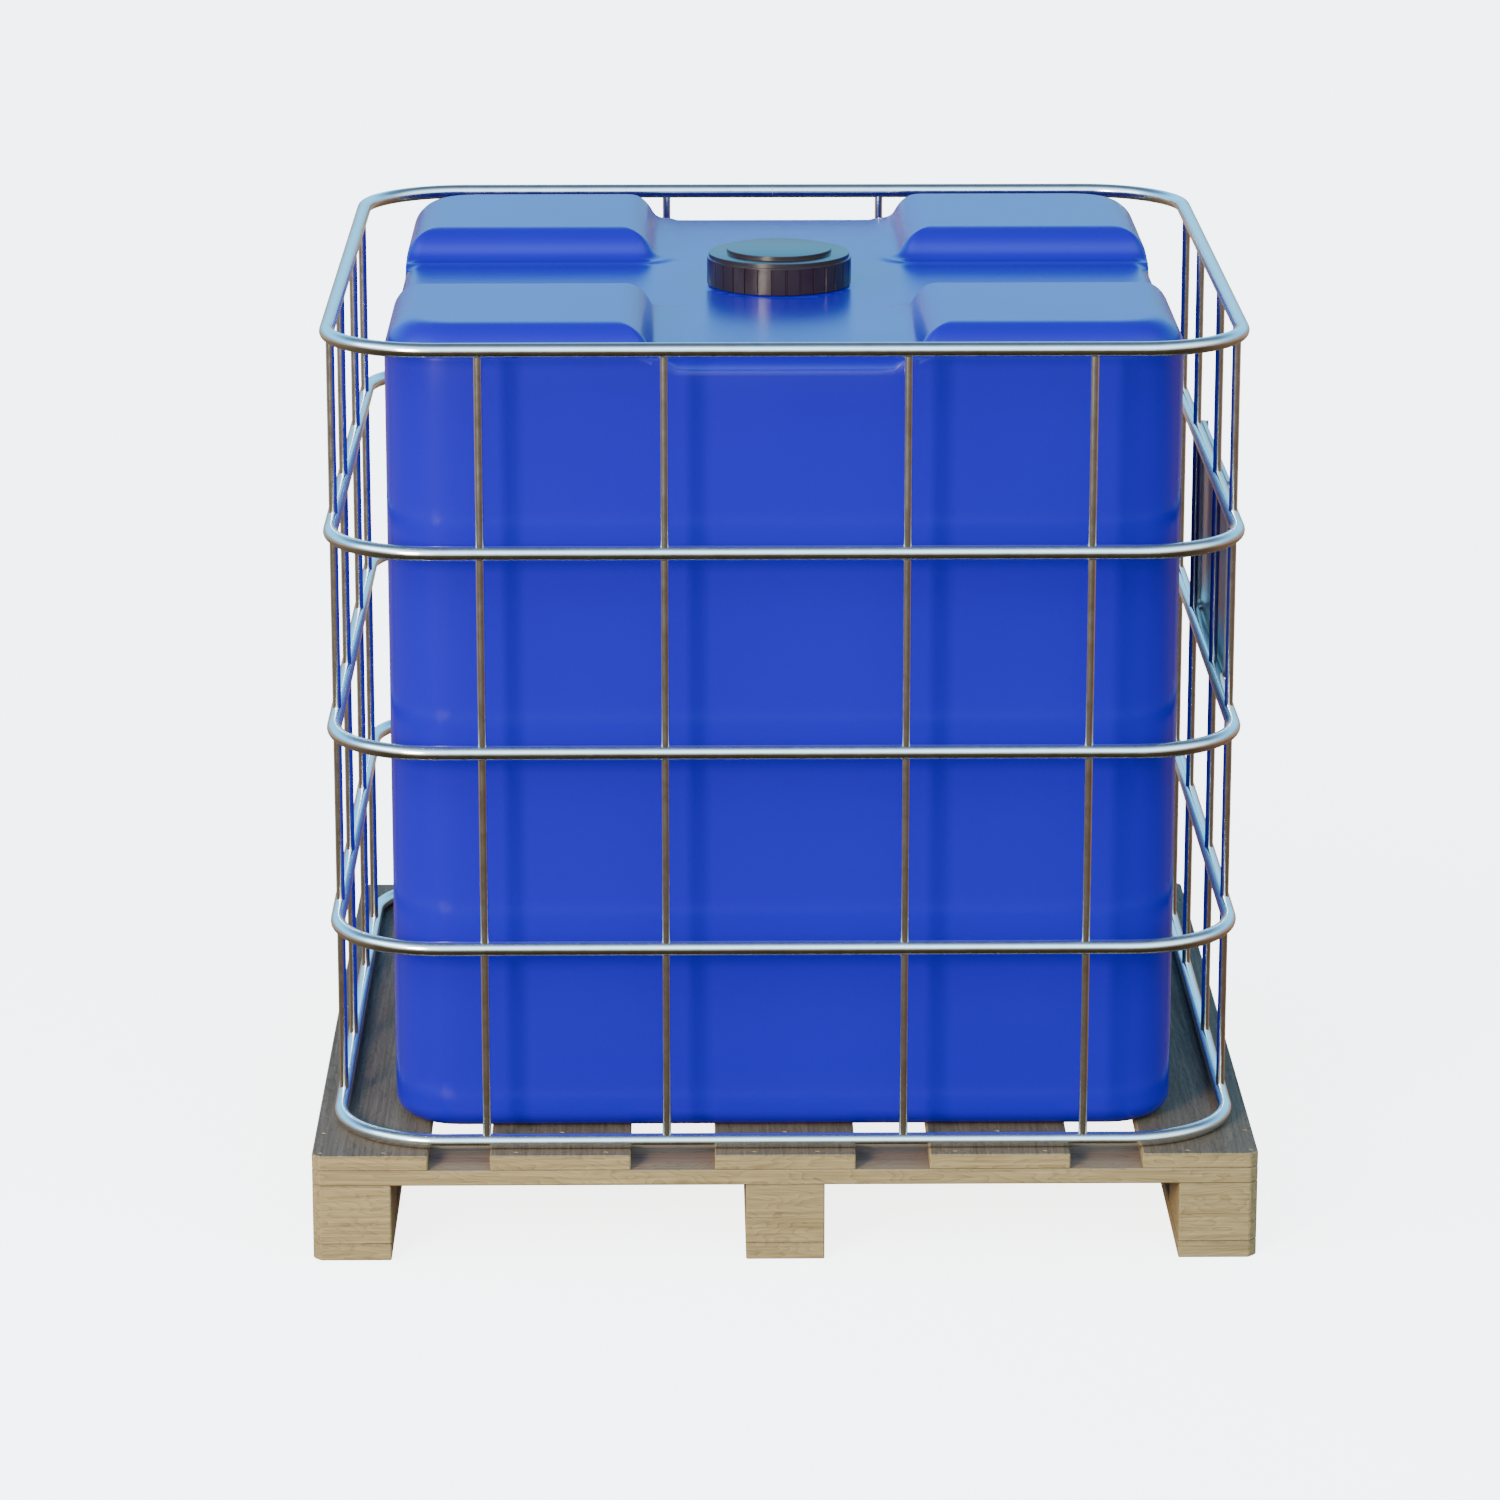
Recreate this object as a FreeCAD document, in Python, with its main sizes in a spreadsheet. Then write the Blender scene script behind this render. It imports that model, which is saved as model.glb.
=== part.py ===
import FreeCAD
import Part
import math
import os

import Sketcher
from FreeCAD import Placement, Rotation, Vector

# Intermediate bulk container: a square wooden pallet, a cage of five tubular
# hoops and sixteen round bars, a blow-moulded tank with a screw lid on top and
# a ball valve in a recess low on its rear wall.
# Millimetres.  +Z is up, +X is to the right, -Y is the front.  The origin is
# on the floor at the middle of the pallet.

SIZES = {
    # Pallet, from the floor up: bottom boards, blocks, cross boards, deck.
    "pallet_width": 1200.0,
    "bottom_board_width": 100.0,
    "bottom_board_thick": 22.0,
    "block_depth": 145.0,
    "block_height": 78.0,
    "cross_board_thick": 20.0,
    "deck_board_thick": 20.0,
    "deck_edge_width": 147.0,
    "deck_inner_width": 178.0,
    "deck_left_centre": 285.0,
    "deck_right_centre": 272.0,
    "board_chamfer": 1.5,
    "pallet_corner_cut": 10.0,
    # Nails.
    "nail_radius": 1.6,
    "nail_head_radius": 3.0,
    "nail_head_height": 1.0,
    "nail_sink": 0.4,
    "nail_seat_radius": 3.3,
    "nail_length": 70.0,
    "clinch_length": 38.0,
    "nail_edge_distance": 12.0,
    "nail_block_margin": 5.0,
    "nail_row_spacing": 77.0,
    "nail_pair_narrow": 80.0,
    "nail_pair_wide": 114.0,
    # Cage: tube hoops round the tank, and bars that stand between them.
    "tube_radius": 9.5,
    "tube_wall": 1.5,
    "cage_inset": 30.0,
    "hoop_corner_radius": 135.0,
    "hoop_spacing": 255.25,
    "hoop_seam": 1.0,
    "weld_proud": 0.4,
    "bar_radius": 5.5,
    "bar_inner_place": 150.0,
    "bar_outer_place": 378.0,
    "screw_radius": 2.7,
    "screw_head_radius": 5.5,
    "screw_head_height": 3.0,
    "screw_length": 22.5,
    "holddown_inner": 198.0,
    "holddown_outer": 330.0,
    # Identification plate: a shallow tray of sheet metal on the right side.
    "plate_width": 400.0,
    "plate_height": 264.0,
    "plate_depth": 5.5,
    "plate_sheet": 1.5,
    "plate_corner": 12.0,
    "plate_screw_place": 182.0,
    # Tank.
    "tank_width": 1000.0,
    "tank_height": 1005.0,
    "tank_wall": 3.0,
    "tank_corner": 85.0,
    "tank_bottom_round": 28.0,
    "shoulder_round": 34.0,
    "pillow_foot": 44.0,
    "pillow_start": 163.0,
    "pillow_height": 40.0,
    "pillow_lean": 23.0,
    "pillow_corner": 45.0,
    "pillow_round": 33.0,
    "neck_radius": 85.0,
    "neck_bore": 75.0,
    "neck_height": 27.5,
    "recess_width": 260.0,
    "recess_height": 210.0,
    "recess_depth": 90.0,
    "recess_drop": 20.0,
    "recess_round": 15.0,
    "outlet_height": 85.0,
    "spigot_radius": 30.0,
    "spigot_bore": 25.0,
    "spigot_length": 32.0,
    # Screw lid.
    "lid_radius": 95.0,
    "lid_top_radius": 92.5,
    "lid_disc_radius": 69.0,
    "lid_skirt": 36.0,
    "lid_height": 41.5,
    "lid_disc_height": 47.0,
    "lid_gap": 1.5,
    "lid_floor": 29.0,
    "lid_sheet": 4.0,
    "lid_clearance": 1.0,
    "lid_groove_width": 2.2,
    "lid_groove_depth": 1.4,
    "lid_groove_height": 33.0,
    "lid_gasket_thick": 3.0,
    # Discharge valve, measured along its flow axis from the recess wall.
    "valve_gasket_thick": 2.5,
    "valve_flange_radius": 34.0,
    "valve_flange_thick": 5.5,
    "valve_neck_radius": 30.5,
    "valve_neck_length": 7.5,
    "valve_barrel_radius": 42.0,
    "valve_barrel_length": 70.5,
    "chamber_radius": 33.0,
    "chamber_start": 49.0,
    "ball_radius": 31.0,
    "ball_bore": 22.0,
    "ball_centre": 80.0,
    "seat_length": 13.0,
    "seat_clearance": 0.3,
    "boss_root": 35.0,
    "boss_radius": 17.0,
    "boss_height": 58.0,
    "stem_radius": 8.0,
    "stem_hole_start": 27.0,
    "stem_clearance": 0.05,
    "stem_foot": 25.5,
    "stem_tang_length": 12.8,
    "stem_tang_width": 7.6,
    "stem_tang_top": 31.5,
    "stem_square": 11.0,
    "stem_top": 70.0,
    "slot_clearance": 0.2,
    "lever_hub_radius": 16.0,
    "lever_base": 58.5,
    "lever_thick": 12.0,
    "lever_length": 108.0,
    "lever_width": 22.0,
    "lever_end_round": 10.8,
    "lever_root_round": 1.0,
    "lever_screw_radius": 2.5,
    "lever_screw_depth": 14.0,
    "lever_screw_shank": 12.0,
    "lever_screw_head": 8.0,
    "lever_screw_head_edge": 2.0,
    "lever_screw_head_top": 5.6,
    "lever_screw_head_height": 4.0,
    "tail_plug_length": 7.0,
    "tail_flange_thick": 6.0,
    "tail_end": 150.0,
    "nut_radius": 43.0,
    "nut_start": 4.0,
    "nut_end": 46.0,
    "nut_shoulder": 33.0,
    "nut_clearance": 0.8,
    "nut_groove_width": 7.0,
    "nut_groove_depth": 2.5,
    "nut_groove_end": 40.0,
    "cap_radius": 38.0,
    "cap_start": 127.0,
    "cap_end": 157.0,
    "cap_groove_end": 153.0,
    "cap_sheet": 5.0,
}

HOOP_COUNT = 5
LID_GROOVES = 32
NUT_GROOVES = 12
CAP_GROOVES = 24

document = FreeCAD.newDocument("ibc")
sheet = document.addObject("Spreadsheet::Sheet", "Sizes")
for row, (alias, number) in enumerate(SIZES.items(), start=1):
    sheet.set(f"A{row}", str(number))
    sheet.setAlias(f"A{row}", alias)
document.recompute()


class Size:
    """A dimension that knows its number and the sheet expression behind it."""

    def __init__(self, number, text):
        self.number = number
        self.text = text

    def joined(self, sign, number, other):
        return Size(number, f"({self.text} {sign} {other.text})")

    def __add__(self, other):
        other = as_size(other)
        return self.joined("+", self.number + other.number, other)

    def __sub__(self, other):
        other = as_size(other)
        return self.joined("-", self.number - other.number, other)

    def __mul__(self, other):
        other = as_size(other)
        return self.joined("*", self.number * other.number, other)

    def __truediv__(self, other):
        other = as_size(other)
        return self.joined("/", self.number / other.number, other)

    def __neg__(self):
        return self * -1


def as_size(value):
    """A plain number as a Size, or the Size itself."""
    if isinstance(value, Size):
        return value
    return Size(float(value), f"({float(value)})")


def size(alias):
    """The Size of one cell of the sheet."""
    return Size(float(sheet.get(alias)), f"Sizes.{alias}")


def number(value):
    """The plain number of a Size."""
    return as_size(value).number


def bind(item, prop, value):
    """Drive one property of a document object by a size."""
    item.setExpression(prop, as_size(value).text)


parts = []


def sub_part(item):
    """Mark an object as one of the container's pieces."""
    parts.append(item)
    return item


def place(item, x=0, y=0, z=0, turn=None):
    """Put an object at a place worked out from the sheet."""
    if turn is not None:
        item.Placement = Placement(Vector(), turn)
    for letter, value in (("x", x), ("y", y), ("z", z)):
        bind(item, f"Placement.Base.{letter}", value)
    return item


ALONG_Y = Rotation(Vector(1, 0, 0), -90)
ALONG_X = Rotation(Vector(0, 1, 0), 90)


# ---------------------------------------------------------------- sketches

def new_body(label):
    body = document.addObject("PartDesign::Body", label)
    body.Label = label
    return body


def origin_item(body, role):
    """One of a body's own origin planes or axes."""
    for item in body.Origin.OriginFeatures:
        if item.Role == role:
            return item
    raise ValueError(role)


def sketch_on(body, role, offset=0):
    """A sketch on a body's origin plane, shifted along the plane's normal."""
    sketch = body.newObject("Sketcher::SketchObject", f"{body.Name}_sketch")
    sketch.AttachmentSupport = [(origin_item(body, role), "")]
    sketch.MapMode = "FlatFace"
    bind(sketch, "AttachmentOffset.Base.z", offset)
    return sketch


def constrain(sketch, value, kind, *where):
    """Add a dimension to a sketch and drive it by a size."""
    value = as_size(value)
    index = sketch.addConstraint(Sketcher.Constraint(kind, *where, value.number))
    bind(sketch, f"Constraints[{index}]", value)


def fix_point(sketch, curve, end, x=None, y=None):
    """Fix a curve's end from the sketch origin; negative sizes run backwards."""
    for kind, value, axis in (("DistanceX", x, -2), ("DistanceY", y, -1)):
        if value is None:
            continue
        value = as_size(value)
        if value.number == 0:
            sketch.addConstraint(Sketcher.Constraint("PointOnObject", curve, end, axis))
        elif value.number > 0:
            constrain(sketch, value, kind, -1, 1, curve, end)
        else:
            constrain(sketch, -value, kind, curve, end, -1, 1)


def draw_outline(sketch, points):
    """A closed outline of straight lines through points (x, y) given as sizes."""
    points = [(as_size(x), as_size(y)) for x, y in points]
    vectors = [Vector(x.number, y.number, 0) for x, y in points]
    lines = [
        sketch.addGeometry(Part.LineSegment(start, end))
        for start, end in zip(vectors, vectors[1:] + vectors[:1])
    ]
    for line, following in zip(lines, lines[1:] + lines[:1]):
        sketch.addConstraint(Sketcher.Constraint("Coincident", line, 2, following, 1))
    for line, (x, y) in zip(lines, points):
        fix_point(sketch, line, 1, x, y)


def draw_circle(sketch, radius, x=0, y=0):
    """A circle with its centre at a place given as sizes."""
    x = as_size(x)
    y = as_size(y)
    radius = as_size(radius)
    centre = Vector(x.number, y.number, 0)
    curve = sketch.addGeometry(Part.Circle(centre, Vector(0, 0, 1), radius.number))
    constrain(sketch, radius, "Radius", curve)
    fix_point(sketch, curve, 3, x, y)


def draw_rounded(sketch, left, right, low, high, radii):
    """A rectangle whose corners are arcs; radii start at the lower left."""
    left, right, low, high = [as_size(item) for item in (left, right, low, high)]
    radii = [as_size(item) for item in radii]
    corners = [(left, low), (right, low), (right, high), (left, high)]
    toward = [(1, 1), (-1, 1), (-1, -1), (1, -1)]
    arcs = []
    for index, ((x, y), (sign_x, sign_y)) in enumerate(zip(corners, toward)):
        radius = radii[index].number
        centre = Vector(x.number + sign_x * radius, y.number + sign_y * radius, 0)
        start = math.radians(180 + 90 * index)
        circle = Part.Circle(centre, Vector(0, 0, 1), radius)
        arcs.append(sketch.addGeometry(Part.ArcOfCircle(circle, start, start + math.pi / 2)))
    for index in range(4):
        following = (index + 1) % 4
        first = sketch.getPoint(arcs[index], 2)
        last = sketch.getPoint(arcs[following], 1)
        side = sketch.addGeometry(Part.LineSegment(first, last))
        sketch.addConstraint(Sketcher.Constraint("Tangent", arcs[index], 2, side, 1))
        sketch.addConstraint(Sketcher.Constraint("Tangent", side, 2, arcs[following], 1))
        sketch.addConstraint(Sketcher.Constraint(("Horizontal", "Vertical")[index % 2], side))
    for arc, radius in zip(arcs, radii):
        constrain(sketch, radius, "Radius", arc)
    bottom = arcs[3] + 1
    fix_point(sketch, bottom, 1, y=low)
    fix_point(sketch, bottom + 1, 1, x=right)
    fix_point(sketch, bottom + 2, 1, y=high)
    fix_point(sketch, bottom + 3, 1, x=left)


# ---------------------------------------------------------------- features

def pad(body, sketch, length, backwards=False):
    feature = body.newObject("PartDesign::Pad", f"{body.Name}_pad")
    feature.Profile = sketch
    feature.Reversed = backwards
    bind(feature, "Length", length)
    return feature


def loft(body, low, high):
    """Join two sketches by straight sides."""
    feature = body.newObject("PartDesign::AdditiveLoft", f"{body.Name}_loft")
    feature.Profile = low
    feature.Sections = [high]
    feature.Ruled = True
    return feature


def pocket(body, sketch, length, backwards=False):
    feature = body.newObject("PartDesign::Pocket", f"{body.Name}_pocket")
    feature.Profile = sketch
    feature.Reversed = backwards
    bind(feature, "Length", length)
    return feature


def revolve(body, sketch):
    """Turn a sketch on the XZ plane about the body's vertical axis."""
    feature = body.newObject("PartDesign::Revolution", f"{body.Name}_turned")
    feature.Profile = sketch
    feature.ReferenceAxis = (sketch, ["V_Axis"])
    feature.Angle = 360.0
    return feature


def around(body, feature, count):
    """Repeat a feature round the body's vertical axis."""
    pattern = body.newObject("PartDesign::PolarPattern", f"{body.Name}_ring")
    pattern.Originals = [feature]
    pattern.Axis = (origin_item(body, "Z_Axis"), [""])
    pattern.Angle = 360.0
    pattern.Occurrences = count
    body.Tip = pattern
    return pattern


def chosen_edges(feature, wanted):
    """Names of the feature's edges that the test picks out."""
    document.recompute()
    edges = enumerate(feature.Shape.Edges, start=1)
    return [f"Edge{index}" for index, edge in edges if wanted(edge)]


def fillet(body, feature, radius, wanted):
    dressed = body.newObject("PartDesign::Fillet", f"{body.Name}_fillet")
    dressed.Base = (feature, chosen_edges(feature, wanted))
    bind(dressed, "Radius", radius)
    return dressed


def chamfer(body, feature, width, wanted):
    dressed = body.newObject("PartDesign::Chamfer", f"{body.Name}_chamfer")
    dressed.Base = (feature, chosen_edges(feature, wanted))
    bind(dressed, "Size", width)
    return dressed


def every_edge(edge):
    return True


def lies_at(edge, axis, value):
    """True for an edge that lies wholly in the plane axis = value."""
    box = edge.BoundBox
    low = getattr(box, f"{axis}Min")
    high = getattr(box, f"{axis}Max")
    return abs(low - value) < 0.05 and abs(high - value) < 0.05


def turned_part(label, points):
    """A body turned about its vertical axis from (radius, height) points."""
    body = new_body(label)
    sketch = sketch_on(body, "XZ_Plane")
    draw_outline(sketch, points)
    revolve(body, sketch)
    return sub_part(body)


# ---------------------------------------------------------------- pallet

half_pallet = size("pallet_width") / 2
block_top = size("bottom_board_thick") + size("block_height")
cross_top = block_top + size("cross_board_thick")
deck_top = cross_top + size("deck_board_thick")


def cut_corners(left, right, low, high, cuts):
    """A rectangle's points, with the named corners cut off at 45 degrees."""
    cut = size("pallet_corner_cut")
    corners = (
        ("front_left", [(left, low + cut), (left + cut, low)], (left, low)),
        ("front_right", [(right - cut, low), (right, low + cut)], (right, low)),
        ("rear_right", [(right, high - cut), (right - cut, high)], (right, high)),
        ("rear_left", [(left + cut, high), (left, high - cut)], (left, high)),
    )
    points = []
    for name, cut_points, sharp_point in corners:
        points += cut_points if name in cuts else [sharp_point]
    return points


def board(label, width, depth, thick, x, y, z, cuts=()):
    """A wooden piece with a plan size, a thickness and lightly broken edges."""
    body = new_body(label)
    sketch = sketch_on(body, "XY_Plane")
    half_width = as_size(width) / 2
    half_depth = as_size(depth) / 2
    draw_outline(sketch, cut_corners(-half_width, half_width, -half_depth, half_depth, cuts))
    block = pad(body, sketch, thick)
    chamfer(body, block, size("board_chamfer"), every_edge)
    return place(sub_part(body), x, y, z)


side_place = half_pallet - size("bottom_board_width") / 2
row_place = half_pallet - size("block_depth") / 2
COLUMNS = (("left", -side_place), ("middle", as_size(0)), ("right", side_place))
ROWS = (("front", -row_place), ("centre", as_size(0)), ("rear", row_place))

deck_edge_place = half_pallet - size("deck_edge_width") / 2
DECK_BOARDS = (
    ("left_edge", -deck_edge_place, size("deck_edge_width"), ("front_left", "rear_left")),
    ("left_inner", -size("deck_left_centre"), size("deck_inner_width"), ()),
    ("middle", as_size(0), size("deck_inner_width"), ()),
    ("right_inner", size("deck_right_centre"), size("deck_inner_width"), ()),
    ("right_edge", deck_edge_place, size("deck_edge_width"), ("front_right", "rear_right")),
)


def over_block(x):
    """The middle of the block column under a place, or None between columns."""
    reach = number(size("bottom_board_width")) / 2 - number(size("nail_block_margin"))
    for _, column in COLUMNS:
        if abs(x.number - column.number) < reach:
            return column
    return None


def nail_spots(middle, pair, third):
    """Three nails at each row's crossing: a pair by the outer edge, one further in."""
    half = pair / 2
    edge = size("block_depth") / 2 - size("nail_edge_distance")
    spots = []
    for _, y in ROWS:
        outward = -1 if y.number <= 0 else 1
        outer = y + edge * outward
        inner = outer - size("nail_row_spacing") * outward
        spots += [(middle - half, outer), (middle + half, outer), (third, inner)]
    return spots


def deck_nail_spots(name, x):
    """The nails of one deck board; an edge board's third nail is in line with the outer one."""
    middle = over_block(x) or x
    if "inner" in name:
        return nail_spots(middle, size("nail_pair_wide"), middle)
    pair = size("nail_pair_narrow")
    if "edge" in name:
        outward = -1 if x.number < 0 else 1
        return nail_spots(middle, pair, middle + pair / 2 * outward)
    return nail_spots(middle, pair, middle)


def bottom_nail_spots(x):
    """The nails of one bottom board."""
    return nail_spots(x, size("bottom_board_width") / 2, x)


def seat_nail_heads(body, x, spots, height, from_below=False):
    """Shallow round seats in a board's face that the nail heads are driven into."""
    seats = sketch_on(body, "XY_Plane", height)
    for spot_x, spot_y in spots:
        draw_circle(seats, size("nail_seat_radius"), spot_x - x, spot_y)
    document.recompute()
    pocket(body, seats, size("nail_sink") + size("nail_head_height"), backwards=from_below)


def build_pallet():
    for column, x in COLUMNS:
        cuts = {"left": ("front_left", "rear_left"), "right": ("front_right", "rear_right")}
        bottom = board(f"bottom_board_{column}", size("bottom_board_width"),
                       size("pallet_width"), size("bottom_board_thick"), x, 0, 0,
                       cuts.get(column, ()))
        seat_nail_heads(bottom, x, bottom_nail_spots(x), 0, from_below=True)
        for row_name, y in ROWS:
            board(f"block_{row_name}_{column}", size("bottom_board_width"), size("block_depth"),
                  size("block_height"), x, y, size("bottom_board_thick"),
                  (f"{row_name}_{column}",))
    for row_name, y in ROWS:
        board(f"cross_board_{row_name}", size("pallet_width"), size("block_depth"),
              size("cross_board_thick"), 0, y, block_top,
              (f"{row_name}_left", f"{row_name}_right"))
    for name, x, width, cuts in DECK_BOARDS:
        deck = board(f"deck_board_{name}", width, size("pallet_width"),
                     size("deck_board_thick"), x, 0, cross_top, cuts)
        seat_nail_heads(deck, x, deck_nail_spots(name, x), size("deck_board_thick"))


# ---------------------------------------------------------------- nails and screws

def nail_solid(x, y, z, length, upwards=False):
    """A domed nail whose head bears on z; it is driven down, or up from below."""
    head_radius = number(size("nail_head_radius"))
    head_height = number(size("nail_head_height"))
    shank = Part.makeCylinder(number(size("nail_radius")), length, Vector(0, 0, -length))
    dome_radius = (head_radius ** 2 + head_height ** 2) / (2 * head_height)
    dome = Part.makeSphere(dome_radius, Vector(0, 0, head_height - dome_radius))
    rim = Part.makeCylinder(head_radius, head_height)
    nail = shank.fuse(rim.common(dome)).removeSplitter()
    if upwards:
        nail.rotate(Vector(), Vector(1, 0, 0), 180)
    nail.translate(Vector(x, y, z))
    return nail


def group(label, solids):
    """Identical fasteners as one piece made of separate solids."""
    item = document.addObject("Part::Feature", label)
    item.Label = label
    item.Shape = Part.makeCompound(solids)
    return sub_part(item)


def build_deck_nails():
    """Nails through each deck board; over a block they reach into the block."""
    head_seat = number(deck_top - size("nail_sink") - size("nail_head_height"))
    solids = []
    for name, x, _, _ in DECK_BOARDS:
        for spot_x, spot_y in deck_nail_spots(name, x):
            length = size("nail_length") if over_block(spot_x) else size("clinch_length")
            solids.append(nail_solid(spot_x.number, spot_y.number, head_seat, length.number))
    group("deck_nails", solids)


def build_bottom_nails():
    """Nails up through each bottom board into its blocks."""
    head_seat = number(size("nail_sink") + size("nail_head_height"))
    length = number(size("nail_length") - size("deck_board_thick"))
    solids = []
    for _, x in COLUMNS:
        for spot_x, spot_y in bottom_nail_spots(x):
            solids.append(nail_solid(spot_x.number, spot_y.number, head_seat, length,
                                     upwards=True))
    group("bottom_nails", solids)


cage_place = half_pallet - size("cage_inset")


def screw_solid(place_of_head, direction):
    """A hexagon-head self-drilling screw seated at a point."""
    radius = number(size("screw_head_radius"))
    points = [
        Vector(radius * math.cos(math.radians(angle)), radius * math.sin(math.radians(angle)), 0)
        for angle in range(0, 361, 60)
    ]
    head = Part.Face(Part.makePolygon(points)).extrude(
        Vector(0, 0, -number(size("screw_head_height"))))
    shank = Part.makeCylinder(number(size("screw_radius")), number(size("screw_length")))
    screw = head.fuse(shank)
    screw.Placement = Placement(place_of_head, Rotation(Vector(0, 0, 1), direction))
    return screw


def plate_levels():
    """Heights of the two hoops that the identification plate is fixed to."""
    return [hoop_level(level).number for level in (2, 3)]


def build_cage_screws():
    """Screws up through the deck into the lowest hoop, and through the plate."""
    solids = []
    side = cage_place.number
    low = cross_top.number
    for x in (-side, side):
        for sign in (-1, 1):
            for distance in (size("holddown_inner"), size("holddown_outer")):
                spot = Vector(x, sign * number(distance), low)
                solids.append(screw_solid(spot, Vector(0, 0, 1)))
    face = side + number(size("tube_radius") + size("plate_depth"))
    for z in plate_levels():
        for sign in (-1, 1):
            spot = Vector(face, sign * number(size("plate_screw_place")), z)
            solids.append(screw_solid(spot, Vector(-1, 0, 0)))
    group("cage_screws", solids)


# ---------------------------------------------------------------- cage

def hoop_level(index):
    """Height of a hoop's centre line; the lowest lies on the deck."""
    return deck_top + size("tube_radius") + size("hoop_spacing") * index


def draw_hoop_path(sketch):
    """A rounded square path, open at a narrow seam in the middle of its rear side."""
    half = cage_place
    radius = size("hoop_corner_radius")
    seam = size("hoop_seam") / 2
    straight = half.number - radius.number
    centres = [(straight, straight), (straight, -straight),
               (-straight, -straight), (-straight, straight)]
    ends = []
    arcs = []
    for index, (x, y) in enumerate(centres):
        start = math.radians(90 - 90 * index)
        circle = Part.Circle(Vector(x, y, 0), Vector(0, 0, 1), radius.number)
        arc = Part.ArcOfCircle(circle, start - math.pi / 2, start)
        arcs.append(sketch.addGeometry(arc))
        ends.append((arc.EndPoint, arc.StartPoint))
    stops = [Vector(seam.number, half.number, 0)]
    for first, last in ends:
        stops += [first, last]
    stops.append(Vector(-seam.number, half.number, 0))
    sides = [
        sketch.addGeometry(Part.LineSegment(stops[index], stops[index + 1]))
        for index in range(0, len(stops), 2)
    ]
    for index, arc in enumerate(arcs):
        sketch.addConstraint(Sketcher.Constraint("Tangent", sides[index], 2, arc, 2))
        sketch.addConstraint(Sketcher.Constraint("Tangent", arc, 1, sides[index + 1], 1))
        constrain(sketch, radius, "Radius", arc)
    for index, side in enumerate(sides):
        sketch.addConstraint(Sketcher.Constraint(("Horizontal", "Vertical")[index % 2], side))
    fix_point(sketch, sides[0], 1, seam, half)
    fix_point(sketch, sides[1], 1, x=half)
    fix_point(sketch, sides[2], 1, y=-half)
    fix_point(sketch, sides[3], 1, x=-half)
    fix_point(sketch, sides[4], 2, -seam, half)


def build_hoop(index):
    """One hoop: a round tube bent to a rounded square, its ends at the rear seam."""
    body = new_body(f"hoop_{index + 1}")
    path = sketch_on(body, "XY_Plane")
    draw_hoop_path(path)
    section = sketch_on(body, "YZ_Plane", size("hoop_seam") / 2)
    draw_circle(section, size("tube_radius"), cage_place)
    draw_circle(section, size("tube_radius") - size("tube_wall"), cage_place)
    tube = body.newObject("PartDesign::AdditivePipe", f"{body.Name}_pipe")
    tube.Profile = section
    tube.Spine = path
    tube.Transition = "Transformed"
    place(sub_part(body), z=hoop_level(index))


def build_seam_welds():
    """Weld rings that close the hoops' seams, ground flat underneath."""
    gap = number(size("hoop_seam"))
    radius = number(size("tube_radius"))
    outer = number(size("tube_radius") + size("weld_proud"))
    inner = number(size("tube_radius") - size("tube_wall"))
    solids = []
    for index in range(HOOP_COUNT):
        start = Vector(-gap / 2, cage_place.number, hoop_level(index).number)
        bead = Part.makeCylinder(outer, gap, start, Vector(1, 0, 0))
        hole = Part.makeCylinder(inner, gap, start, Vector(1, 0, 0))
        below = Part.makeBox(gap, outer * 2, outer, start - Vector(0, outer, radius + outer))
        solids.append(bead.cut(hole).cut(below))
    group("seam_welds", solids)


def cylinder(label, radius, length):
    item = document.addObject("Part::Cylinder", label)
    bind(item, "Radius", radius)
    bind(item, "Height", length)
    return item


def hoop_envelope():
    """Solid rods in the place of the hoops' straight sides, to cope the bars."""
    rods = []
    for index in range(HOOP_COUNT):
        for sign in (-1, 1):
            length = cage_place * 2
            along_x = cylinder(f"cope_x_{index}_{sign + 1}", size("tube_radius"), length)
            place(along_x, -cage_place, cage_place * sign, hoop_level(index), ALONG_X)
            along_y = cylinder(f"cope_y_{index}_{sign + 1}", size("tube_radius"), length)
            place(along_y, cage_place * sign, -cage_place, hoop_level(index), ALONG_Y)
            rods += [along_x, along_y]
    envelope = document.addObject("Part::MultiFuse", "hoop_envelope")
    envelope.Shapes = rods
    return envelope


def build_bars(envelope):
    """Four upright bars on each side, cut to the round of the hoops they meet."""
    first = hoop_level(0)
    height = size("hoop_spacing") * (HOOP_COUNT - 1)
    places = (-size("bar_outer_place"), -size("bar_inner_place"),
              size("bar_inner_place"), size("bar_outer_place"))
    for order, along in enumerate(places, start=1):
        spots = (
            ("front", along, -cage_place),
            ("rear", along, cage_place),
            ("left", -cage_place, along),
            ("right", cage_place, along),
        )
        for side, x, y in spots:
            bar = cylinder(f"{side}_bar_{order}_blank", size("bar_radius"), height)
            place(bar, x, y, first)
            coped = document.addObject("Part::Cut", f"{side}_bar_{order}")
            coped.Base = bar
            coped.Tool = envelope
            sub_part(coped)


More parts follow.
